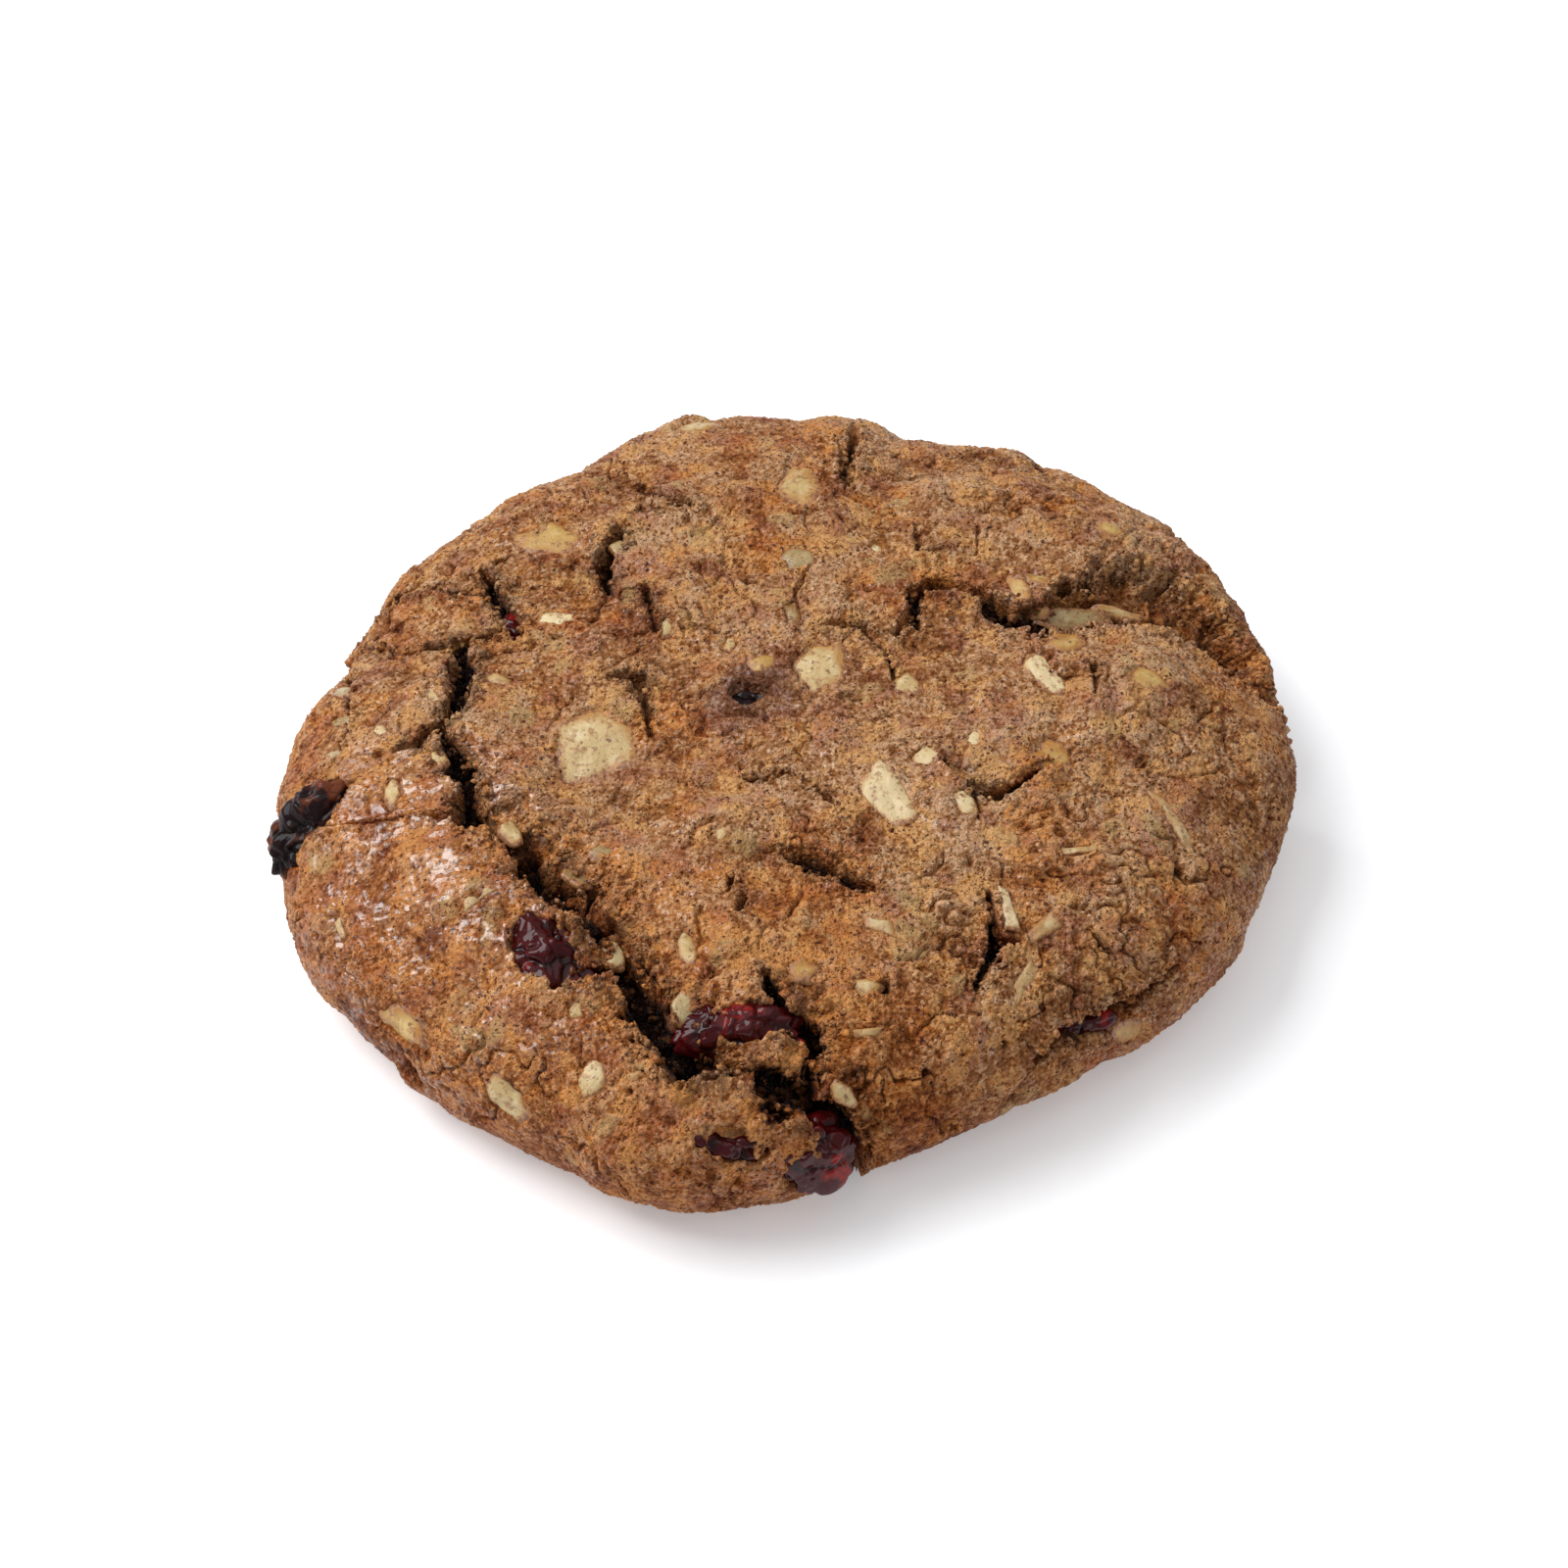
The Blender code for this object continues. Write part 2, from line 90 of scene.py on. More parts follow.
def noise(points: Array, cell: float, seed: int) -> Array:
    """Smooth noise from -1 to 1: a value at each corner of a cubic lattice, blended in between.

    Args:
        points: Places in millimetres, three numbers a row.
        cell: Size of a lattice cell in millimetres, which is the size of one lump.
        seed: Which pattern is wanted. Each use of noise has its own.

    Returns:
        One value for each point.
    """
    place = points / cell
    corner = np.floor(place)
    share = place - corner
    share = share * share * (3.0 - 2.0 * share)
    total = np.zeros(len(points))
    for index in range(8):
        step = np.array([index & 1, index >> 1 & 1, index >> 2 & 1])
        weight = np.prod(np.where(step == 1, share, 1.0 - share), axis=1)
        total += weight * corner_values(corner + step, seed)
    return total


def flat_points(sheet: Array) -> Array:
    """The sheet's points with a zero height, so that noise can be read at them."""
    return np.concatenate([sheet, np.zeros((len(sheet), 1))], axis=1)


def smooth_step(low: float, high: float, value: Array) -> Array:
    """0 below low, 1 above high, and an S-shaped rise between, as 3t^2 - 2t^3."""
    share = np.clip((value - low) / (high - low), 0.0, 1.0)
    return share * share * (3.0 - 2.0 * share)


def turned(x: Array, y: Array, patch: Mound | Bed | Stain) -> tuple[Array, Array]:
    """How far places lie along and across a turned patch, from its middle."""
    turn = math.radians(patch.turn)
    x, y = x - patch.x, y - patch.y
    return x * math.cos(turn) + y * math.sin(turn), y * math.cos(turn) - x * math.sin(turn)


def from_segment(sheet: Array, start: Array, end: Array) -> tuple[Array, Array, Array]:
    """Share of the way along a straight piece of line, offset and distance from it, of places."""
    run = end - start
    along = np.clip((sheet - start) @ run / (run @ run), 0, 1)
    away = sheet - (start + along[:, None] * run)
    return along, away, np.hypot(away[:, 0], away[:, 1])


def wrapped_square(side: Array) -> tuple[Array, Array, Array, Array]:
    """Wraps a square grid to a disc, ring by ring, with each ring's points spaced evenly.

    Args:
        side: Places of the grid's lines along a side, with 0 in the middle of the disc.

    Returns:
        Each point's two places on the square, its ring, which is below 0 on the far side, and its
        angle in radians.
    """
    v, u = (part.ravel() for part in np.meshgrid(side, side, indexing="ij"))
    wide = np.abs(u) > np.abs(v)
    longer, shorter = np.where(wide, u, v), np.where(wide, v, u)
    ratio = shorter / np.where(longer == 0, 1, longer)
    return u, v, longer, np.where(wide, math.pi / 4 * ratio, math.pi / 2 - math.pi / 4 * ratio)


def border(count: int) -> Array:
    """Point numbers round the edge of a square grid with count points along a side, in order."""
    index = np.arange(count * count).reshape(count, count)
    return np.concatenate([index[0, :-1], index[:-1, -1], index[-1, :0:-1], index[:0:-1, 0]])


def ball_angles(rings: int, turns: int, gap: float) -> tuple[Array, Array]:
    """Angles over and round a ball of the points of its rings, which stop a gap short of its ends."""
    over = np.linspace(gap, math.pi - gap, rings)
    way = np.linspace(0, 2 * math.pi, turns, endpoint=False)
    over, way = (part.ravel() for part in np.meshgrid(over, way, indexing="ij"))
    return over, way


def grid_faces(rows: int, columns: int, wrap: bool = False) -> Array:
    """Quads of a grid of points that is stored row by row.

    Args:
        rows: Number of rows of points.
        columns: Number of points in a row.
        wrap: Whether the last column joins the first.

    Returns:
        Four point numbers for each quad.
    """
    index = np.arange(rows * columns).reshape(rows, columns)
    if wrap:
        index = np.concatenate([index, index[:, :1]], axis=1)
    corners = (index[:-1, :-1], index[:-1, 1:], index[1:, 1:], index[1:, :-1])
    return np.stack([corner.ravel() for corner in corners], axis=1)


@dataclass
class Shape:
    """Points, faces and values of one mesh, in millimetres, ready to be put into Blender.

    Args:
        points: One row of three numbers for each point.
        quads: One row of four point numbers for each face with four sides.
        triangles: One row of three point numbers for each face with three sides.
        rims: Point numbers of faces with many sides.
        values: Named values of the points, for the materials to read.
    """

    points: Array
    quads: Array | None = None
    triangles: Array | None = None
    rims: tuple[Array, ...] = ()
    values: dict[str, Array] | None = None

    def corner_lists(self) -> tuple[Array, Array]:
        """All faces' corners in one row, and the number of corners of each face."""
        runs, sizes = [], []
        if self.quads is not None:
            runs.append(self.quads.ravel())
            sizes.append(np.full(len(self.quads), 4))
        if self.triangles is not None:
            runs.append(self.triangles.ravel())
            sizes.append(np.full(len(self.triangles), 3))
        for rim in self.rims:
            runs.append(np.asarray(rim))
            sizes.append(np.array([len(rim)]))
        return np.concatenate(runs).astype(np.int32), np.concatenate(sizes).astype(np.int32)

    def to_object(self, name: str, material: bpy.types.Material) -> bpy.types.Object:
        """Makes the object that shows this shape, shaded as one smooth surface.

        Args:
            name: Name of the piece.
            material: What it is made of.

        Returns:
            The new object, at the origin and unturned.
        """
        corners, sizes = self.corner_lists()
        mesh = bpy.data.meshes.new(name)
        mesh.vertices.add(len(self.points))
        placed = (self.points + CENTRE_SHIFT) * MM
        mesh.vertices.foreach_set("co", placed.astype(np.float32).ravel())
        mesh.loops.add(len(corners))
        mesh.loops.foreach_set("vertex_index", corners)
        mesh.polygons.add(len(sizes))
        starts = np.concatenate([[0], np.cumsum(sizes)[:-1]]).astype(np.int32)
        mesh.polygons.foreach_set("loop_start", starts)
        mesh.polygons.foreach_set("use_smooth", np.ones(len(sizes), bool))
        for value_name, value in (self.values or {}).items():
            layer = mesh.attributes.new(value_name, "FLOAT", "POINT")
            layer.data.foreach_set("value", value.astype(np.float32))
        mesh.update(calc_edges=True)
        mesh.validate()
        mesh.materials.append(material)
        made = bpy.data.objects.new(name, mesh)
        bpy.context.scene.collection.objects.link(made)
        LOG.info("%s: %d points, %d faces", name, len(self.points), len(sizes))
        return made


def closed_ball(points: Array, turns: int, values: dict[str, Array]) -> Shape:
    """Closes rings of points, from top to foot: quads between them and a fan at each end.

    Args:
        points: The points, ring after ring.
        turns: Number of points in a ring.
        values: Named values of the points, and of the middles of the top and the foot after them.

    Returns:
        The closed shape.
    """
    count, ring = len(points), np.arange(turns)
    last, following = count - turns, np.roll(ring, -1)
    ends = np.array([points[:turns].mean(axis=0), points[-turns:].mean(axis=0)])
    top = np.stack([np.full(turns, count), ring, following], axis=1)
    foot = np.stack([np.full(turns, count + 1), last + following, last + ring], axis=1)
    quads = grid_faces(count // turns, turns, wrap=True)[:, ::-1]
    return Shape(np.concatenate([points, ends]), quads, np.concatenate([top, foot]), values=values)


def closed_sheet(points: Array, face: Array, values: dict[str, Array], below: bool) -> Shape:
    """Closes a square grid of points with a wall from its border to a flat, hidden face.

    Args:
        points: The grid's points, row by row.
        face: Points of the hidden face, one for each point of the border.
        values: Named values of the grid's points. The hidden ones get those of the border.
        below: Whether the hidden face lies below the grid, and not above it.

    Returns:
        The closed shape.
    """
    count = math.isqrt(len(points))
    rim = border(count)
    hidden = np.arange(len(rim)) + len(points)
    following, hidden_following = np.roll(rim, -1), np.roll(hidden, -1)
    grid = grid_faces(count, count)
    if below:
        wall = np.stack([following, rim, hidden, hidden_following], axis=1)
    else:
        wall = np.stack([rim, following, hidden_following, hidden], axis=1)
    quads = np.concatenate([grid if below else grid[:, ::-1], wall])
    grown = {name: np.concatenate([value, value[rim]]) for name, value in values.items()}
    rims = (hidden[::-1] if below else hidden,)
    return Shape(np.concatenate([points, face]), quads, rims=rims, values=grown)


def joined(shapes: list[Shape]) -> Shape:
    """Many shapes as one, with their quads, triangles and values put one after the other."""
    starts = np.cumsum([0] + [len(shape.points) for shape in shapes[:-1]])
    pairs = list(zip(shapes, starts))
    quads = [shape.quads + start for shape, start in pairs if shape.quads is not None]
    triangles = [shape.triangles + start for shape, start in pairs if shape.triangles is not None]
    names = shapes[0].values or {}
    return Shape(
        np.concatenate([shape.points for shape in shapes]),
        np.concatenate(quads) if quads else None,
        np.concatenate(triangles) if triangles else None,
        values={name: np.concatenate([shape.values[name] for shape in shapes]) for name in names},
    )


# ---- The cookie's form on its sheet ----


@dataclass(frozen=True)
class Crack:
    """A crack in the crust.

    Args:
        line: Points of its middle line: place on the sheet, half width and depth there, in mm.
        step: How much higher the crust stands on the left of the line, going along it, in mm.
        ragged: How far its sides stray, as a share of the half width.
        floor: Share of its width that is its flat floor.
        shoulder: How much the torn dough slopes down to it from behind, from 0 to 1.
    """

    line: tuple[tuple[float, float, float, float], ...]
    step: float = 0.0
    ragged: float = 0.4
    floor: float = 0.2
    shoulder: float = 1.0


@dataclass(frozen=True)
class Mound:
    """A swelling or, with a negative height, a dip in the crown: a two-way bell shape, in mm."""

    x: float
    y: float
    length: float
    width: float
    turn: float
    height: float


@dataclass(frozen=True)
class Bed:
    """The bed of something set in the crust: where the crust is sunk to show it.

    Args:
        x: Place on the sheet in mm.
        y: Place on the sheet in mm.
        length: Half length in mm.
        width: Half width in mm.
        turn: Turn in the sheet, in degrees.
        depth: How deep the crust is sunk, in mm.
        seed: Which uneven outline it has.
        sides: How many straight sides its outline has.
        ragged: How far the crust's torn edge strays, in mm.
        torn_rim: How torn and crumbly the crust is round it, from 0 to 1.
    """

    x: float
    y: float
    length: float
    width: float
    turn: float
    depth: float
    seed: int = 0
    sides: int = 7
    ragged: float = 0.5
    torn_rim: float = 0.0

    def share(self, sheet: Array) -> Array:
        """How far out each place is: 0 in the middle and 1 on the outline.

        The outline is an uneven polygon. Each side gives how far out a place is along that side's
        normal, over the side's own reach. A power mean of them all rounds the corners.
        """
        along, across = turned(sheet[:, 0], sheet[:, 1], self)
        draw = np.random.default_rng(self.seed)
        angle = (np.arange(self.sides) + draw.uniform(-0.28, 0.28, self.sides)) * 2 * math.pi / self.sides
        reach = draw.uniform(0.84, 1.06, self.sides)
        out = np.outer(along / self.length, np.cos(angle)) + np.outer(across / self.width, np.sin(angle))
        return (np.maximum(out / reach, 0.0) ** CORNER_POWER).sum(axis=1) ** (1 / CORNER_POWER)

    def sunk(self, sheet: Array, torn: Array) -> Array:
        """How far the crust is sunk: the full depth inside, none beyond the torn outline.

        Args:
            sheet: Places on the sheet.
            torn: How far the outline strays at each place, from -1 to 1.

        Returns:
            A depth in mm for each place.
        """
        small = min(self.length, self.width)
        share = self.share(sheet) + self.ragged * torn / small
        return self.depth * (1.0 - smooth_step(0.95 - 0.12 / small, 0.95 + 0.12 / small, share))


CORNER_POWER = 16.0

SWELLS = (
    # Middle and spread in degrees, and how far the outline swells there in mm.
    (35, 32, 3.2), (302, 24, -3.2), (330, 14, -0.3), (222, 24, 1.4), (203, 8, 0.7), (259, 14, 2.6),
    (143, 28, -2.0), (121, 7, -1.4), (98, 12, 1.0), (71, 7, -2.6), (161, 8, -1.4), (2, 13, 1.2),
    (10, 5, -1.6), (192, 12, 0.6),
)

MOUNDS = (
    Mound(-22.5, -24.0, 17.0, 6.5, -54.0, 2.4),
    Mound(-14.0, -13.5, 13.0, 4.5, -54.0, -1.3),
    Mound(33.0, 3.5, 11.0, 6.5, 0.0, 1.3),
    Mound(26.0, 23.0, 14.0, 6.0, -15.0, 1.5),
    Mound(14.0, -33.0, 12.0, 6.5, 10.0, 1.2),
    Mound(4.0, 35.0, 16.0, 6.0, 0.0, 0.6),
    Mound(-26.0, 24.0, 9.0, 6.5, 40.0, 1.0),
    Mound(-34.5, 1.0, 7.0, 5.0, 80.0, 0.8),
    Mound(-1.0, 4.0, 14.0, 11.0, 0.0, -0.9),
)

CRACKS = (
    # The fissure, from the left rim round the plate to the front.
    Crack((
        (-44.0, 14.2, 0.3, 0.5), (-40.9, 12.7, 0.3, 0.9), (-36.2, 8.9, 0.35, 1.2),
        (-33.6, 8.3, 0.4, 1.4), (-30.8, 8.6, 0.6, 2.0),
    ), step=0.35),
    Crack((
        (-30.6, 8.7, 0.6, 2.4), (-28.9, 6.4, 1.0, 3.4), (-28.3, 3.6, 1.2, 3.6), (-28.0, 0.8, 1.1, 4.0),
        (-28.4, -1.8, 0.8, 3.8), (-29.8, -3.1, 0.5, 2.4),
    ), step=0.5),
    Crack(((-29.4, -3.0, 0.4, 1.4), (-30.9, -4.6, 0.9, 3.2), (-32.4, -5.4, 0.3, 1.2))),
    Crack((
        (-28.6, -4.0, 0.5, 1.8), (-27.4, -6.2, 0.9, 3.4), (-26.2, -8.2, 1.5, 6.0),
        (-25.6, -10.2, 1.0, 3.2), (-25.3, -11.8, 1.2, 3.4), (-24.6, -13.6, 1.9, 6.5),
        (-22.8, -15.4, 1.3, 3.6), (-21.2, -16.8, 1.6, 4.5), (-19.2, -19.0, 2.3, 8.5),
        (-17.2, -21.4, 2.4, 8.5), (-15.0, -23.4, 1.6, 4.6), (-13.0, -25.8, 1.3, 3.4),
        (-12.2, -28.2, 1.7, 4.4), (-10.8, -30.8, 2.3, 9.5), (-9.3, -33.4, 2.5, 10.0),
        (-7.1, -36.0, 2.0, 9.0), (-4.4, -36.9, 0.8, 3.6), (-1.6, -37.6, 0.5, 2.4),
        (-0.2, -38.8, 1.3, 5.5), (0.8, -40.2, 2.0, 7.5), (2.6, -41.8, 1.2, 3.8), (4.6, -43.6, 2.0, 7.5),
        (6.2, -46.2, 2.2, 7.5), (7.2, -50.0, 2.1, 6.5), (7.4, -54.0, 1.8, 5.0), (7.4, -60.0, 1.5, 3.5),
    ), ragged=0.5, floor=0.3),
    # The lobe's fruit opens into the fissure.
    Crack(((-16.8, -30.0, 0.4, 1.2), (-15.2, -29.3, 0.8, 3.0), (-13.4, -28.4, 0.9, 5.0))),
    # Beside the fruit in the fissure.
    Crack((
        (-1.3, -29.4, 0.6, 2.5), (-0.8, -31.4, 0.9, 4.5), (0.4, -33.9, 0.9, 5.0),
        (2.4, -35.6, 0.9, 5.0), (3.0, -36.8, 0.7, 5.0), (2.2, -38.6, 0.8, 5.0), (2.6, -41.0, 0.8, 5.0),
    ), ragged=0.35),
    # Left back: the crack with fruit in it, and the shelf of the rim.
    Crack((
        (-28.6, 18.6, 0.4, 1.4), (-27.6, 16.2, 0.9, 3.2), (-26.6, 13.8, 1.2, 4.2),
        (-25.8, 11.6, 1.4, 4.4), (-25.0, 9.6, 0.8, 3.0),
    )),
    Crack((
        (-30.8, 8.6, 0.5, 2.0), (-29.1, 8.8, 0.5, 1.8), (-27.4, 9.4, 0.4, 1.6), (-25.6, 10.4, 0.5, 2.0),
    )),
    Crack((
        (-46.0, 14.6, 0.5, 1.4), (-41.3, 16.4, 0.6, 1.7), (-38.4, 17.4, 0.6, 1.7),
        (-35.8, 17.3, 0.6, 1.5), (-33.0, 17.0, 0.6, 1.6), (-30.4, 15.4, 0.7, 1.8),
        (-28.2, 14.4, 0.5, 1.6),
    ), step=-1.1),
    # The notch at the back.
    Crack((
        (7.0, 39.5, 0.3, 0.4), (6.9, 37.5, 0.7, 1.6), (6.7, 34.5, 0.9, 2.6), (6.2, 31.5, 0.9, 2.8),
        (6.4, 28.8, 0.5, 1.5),
    ), step=0.3),
    # The cleft of the right rim.
    Crack((
        (10.9, 8.6, 0.5, 1.6), (11.3, 12.2, 0.6, 2.2), (12.6, 13.8, 0.7, 2.0), (14.6, 13.6, 0.5, 1.4),
        (16.4, 12.4, 0.6, 1.8), (17.4, 10.6, 0.9, 3.0), (19.4, 9.0, 1.3, 4.4), (22.0, 9.4, 1.8, 5.0),
        (25.4, 11.0, 2.6, 5.2), (29.0, 12.3, 3.5, 5.4), (32.6, 12.6, 3.8, 5.6), (36.0, 11.4, 3.0, 5.6),
        (39.6, 9.6, 2.2, 5.4), (42.6, 7.2, 1.9, 5.0), (46.0, 6.0, 1.7, 4.5), (51.0, 5.6, 1.4, 3.0),
        (56.0, 5.6, 1.0, 1.5),
    ), step=0.4, ragged=0.3, floor=0.6, shoulder=0.0),
    Crack(((21.0, 5.4, 0.3, 0.8), (21.6, 3.2, 0.35, 1.2), (23.0, 0.8, 0.3, 0.8))),
    Crack(((26.2, 3.4, 0.35, 1.2), (25.8, 1.4, 0.3, 1.0), (25.6, -0.4, 0.25, 0.6))),
    # Right of the middle.
    Crack((
        (13.9, -7.4, 0.4, 1.4), (15.4, -9.2, 0.5, 1.8), (17.0, -11.0, 0.7, 2.4),
        (19.0, -11.3, 0.9, 2.8), (20.6, -9.9, 0.6, 2.0), (22.0, -8.4, 0.5, 1.8), (24.2, -6.0, 0.4, 1.0),
    ), step=0.3),
    Crack(((16.4, -10.4, 0.4, 1.4), (17.2, -12.8, 0.35, 1.2), (17.4, -14.6, 0.25, 0.6))),
    Crack((
        (0.2, -17.0, 0.4, 1.0), (2.4, -18.6, 0.8, 2.6), (4.6, -20.4, 0.8, 2.6), (6.4, -21.8, 0.6, 2.0),
        (8.2, -22.6, 0.3, 0.8),
    ), step=0.6),
    Crack((
        (18.6, -23.0, 0.5, 1.8), (19.0, -25.6, 0.6, 2.2), (19.4, -28.2, 1.0, 3.4),
        (18.6, -30.6, 0.7, 2.4), (17.6, -33.0, 0.4, 1.4),
    )),
    Crack(((19.4, -28.2, 0.8, 3.0), (21.2, -27.6, 0.8, 3.0))),
    # Small cracks of the plate.
    Crack((
        (-14.9, 2.4, 0.6, 1.4), (-12.9, 2.8, 1.2, 2.4), (-12.1, 0.9, 0.9, 2.0), (-11.2, -2.6, 0.5, 1.4),
    ), step=-0.3),
    Crack(((-11.2, -2.6, 0.35, 1.2), (-10.7, -4.4, 0.25, 0.8))),
    Crack((
        (-15.2, 22.6, 0.7, 2.4), (-16.2, 20.4, 1.2, 3.2), (-16.6, 17.4, 1.2, 3.2),
        (-16.4, 14.8, 0.8, 2.2), (-15.8, 13.4, 0.4, 1.2),
    )),
    Crack(((-12.6, 13.8, 0.5, 1.4), (-12.0, 10.8, 0.6, 1.6), (-11.5, 8.6, 0.4, 1.2))),
    Crack((
        (-13.6, 29.4, 0.4, 1.2), (-11.7, 27.4, 0.5, 1.4), (-9.8, 25.8, 0.5, 1.6),
        (-8.2, 24.8, 0.4, 1.2),
    ), step=0.3),
    Crack(((-13.6, 25.6, 0.3, 1.0), (-10.6, 24.8, 0.35, 1.0))),
    Crack((
        (11.8, 21.8, 0.2, 0.4), (11.9, 18.0, 0.35, 0.9), (12.6, 17.5, 0.35, 0.9),
        (15.0, 18.0, 0.2, 0.3),
    )),
    Crack(((16.9, 20.6, 0.2, 0.4), (16.5, 17.0, 0.25, 0.6))),
    Crack(((-3.0, -8.7, 0.25, 0.7), (-1.2, -9.0, 0.4, 1.2), (0.6, -8.9, 0.25, 0.7)), step=0.2),
    Crack(((1.2, -9.4, 0.25, 0.6), (3.6, -11.6, 0.35, 1.0), (5.2, -13.6, 0.25, 0.6))),
    Crack(((4.0, 8.6, 0.4, 1.4), (6.6, 8.4, 0.5, 1.8), (8.4, 5.6, 0.4, 1.4), (9.3, 2.4, 0.3, 1.0))),
    Crack(((11.3, 12.2, 0.4, 1.4), (10.4, 9.6, 0.35, 1.2), (9.3, 7.4, 0.25, 0.8))),
    Crack(((2.6, 16.6, 0.25, 0.8), (1.2, 12.8, 0.3, 0.9), (1.6, 9.0, 0.3, 1.0))),
    Crack(((-4.0, -19.2, 0.3, 1.0), (-4.2, -20.6, 0.25, 0.8))),
    Crack(((-3.0, -21.3, 0.4, 1.4), (-3.3, -22.6, 0.3, 1.0))),
    Crack(((27.6, -25.9, 0.3, 1.0), (28.8, -26.9, 0.4, 1.4), (29.8, -27.6, 0.3, 0.8))),
    # The lower right, where the crust overhangs a lower lobe.
    Crack((
        (24.4, -38.6, 0.6, 1.5), (26.2, -36.2, 0.9, 2.6), (28.4, -35.2, 1.2, 3.4),
        (30.6, -34.0, 1.4, 3.8), (32.4, -31.8, 1.2, 3.2), (34.4, -28.8, 0.8, 2.0),
        (36.0, -26.0, 0.4, 0.8),
    ), step=0.6),
    # The step of the left rim.
    Crack((
        (-40.2, 8.6, 0.35, 0.8), (-38.8, 4.4, 0.45, 1.1), (-38.0, 0.4, 0.45, 1.2),
        (-37.9, -3.0, 0.45, 1.2), (-38.4, -5.6, 0.5, 1.4),
    ), step=0.5),
    # The edge of the front lobe, which lies over the left of the plate.
    Crack((
        (-37.7, -11.8, 0.3, 0.5), (-35.2, -12.2, 0.35, 0.7), (-32.4, -12.4, 0.35, 0.8),
        (-29.3, -12.7, 0.4, 1.0), (-26.4, -13.6, 0.5, 1.6), (-24.7, -14.7, 0.6, 2.4),
    ), step=-0.7),
    # Beside the lower cavity of the front.
    Crack(((-2.3, -37.6, 0.5, 1.8), (-0.9, -39.4, 1.1, 3.6), (0.4, -41.2, 0.7, 3.0)), step=0.3),
)

PINHOLES = (
    # Place, radius and depth in mm: holes and burst bubbles, darkened inside by painted shade.
    (8.9, -32.7, 0.85, 3.4), (-33.9, -5.5, 0.55, 2.2), (-9.4, -4.9, 0.25, 0.9), (16.6, 12.1, 0.7, 3.4),
    (18.8, 9.8, 0.9, 5.0), (23.6, 13.4, 0.8, 5.2), (26.0, 14.0, 0.8, 4.6), (28.4, 10.4, 0.9, 5.4),
    (31.0, 9.9, 0.9, 5.4), (33.6, 9.9, 0.9, 5.4), (29.6, 17.2, 0.45, 1.0), (32.6, 17.0, 0.55, 1.3),
    (35.0, 15.6, 0.6, 1.7), (37.4, 14.2, 0.55, 1.6), (39.8, 12.6, 0.6, 1.8), (41.8, 10.8, 0.5, 1.6),
    (36.8, 17.6, 0.4, 1.0), (13.0, -40.4, 0.5, 1.6), (20.4, -37.6, 0.4, 1.4), (-11.8, -38.6, 0.35, 1.2),
    (23.6, -33.8, 0.3, 1.0), (22.6, -13.8, 0.25, 0.9), (-8.2, 20.4, 0.3, 1.0),
)


@dataclass(frozen=True)
class Place:
    """Local directions of the crust at some places: points, outwards, and the sheet's two ways."""

    point: Array
    outward: Array
    along_x: Array
    along_y: Array


# The first value is painted shade: how much cracks, holes, hairlines and pits are darkened in colour.
VALUE_NAMES = ("recess_shade", "edge", "grain", "stain", "veil")


@dataclass(frozen=True)
class Relief:
    """What the crust does at some places: height in mm, and the values that materials read."""

    height: Array
    depth: Array
    # Painted shade for the colour: how dark cracks, holes, hairlines and pits are made.
    recess_shade: Array
    edge: Array
    grain: Array
    stain: Array
    veil: Array

    def values(self) -> dict[str, Array]:
        """The named values for the materials."""
        return {name: getattr(self, name) for name in VALUE_NAMES}


# Cell size in mm, height in mm, and seed of the noise.
LUMPS = ((10.0, 0.75, 11), (4.6, 0.42, 12), (2.4, 0.16, 13))
DOMES = ((4.4, 0.7, 43), (2.2, 0.16, 44))
GRAINS = ((0.9, 0.09, 14), (0.55, 0.16, 15), (0.34, 0.16, 16))
SMOOTH_LOBE = (-30.0, -20.0, 11.0)
VEIL_COUNT = 80


def lumps(point: Array) -> Array:
    """Height of the crust's lumps in mm: noise, and domes with creases between them, as |noise|."""
    uneven = sum(size * noise(point, cell, seed) for cell, size, seed in LUMPS)
    domed = sum(size * (np.abs(noise(point, cell, seed)) - FOLD_MEAN) for cell, size, seed in DOMES)
    return uneven + domed * (0.75 + 0.5 * noise(point, 9.0, 45))


def veiled_beds() -> tuple[Bed, ...]:
    """Places of the flakes that lie just under the crust: a seeded draw over the upper side."""
    draw = np.random.default_rng(8)
    length = 52.0 * np.sqrt(draw.random(VEIL_COUNT))
    azimuth = 2 * math.pi * draw.random(VEIL_COUNT)
    sizes = draw.uniform((0.9, 0.6), (2.4, 1.5), (VEIL_COUNT, 2))
    turns = draw.uniform(0, 180, VEIL_COUNT)
    return tuple(
        Bed(reach * math.cos(way), reach * math.sin(way), size[0], size[1], turn, 0.0, 300 + seed, 6, 0.45)
        for seed, (reach, way, size, turn) in enumerate(zip(length, azimuth, sizes, turns))
    )


@dataclass(frozen=True)
class Stain:
    """A patch of the crust that is darker than usual, or lighter where it is below zero."""

    x: float
    y: float
    length: float
    width: float
    turn: float
    strength: float


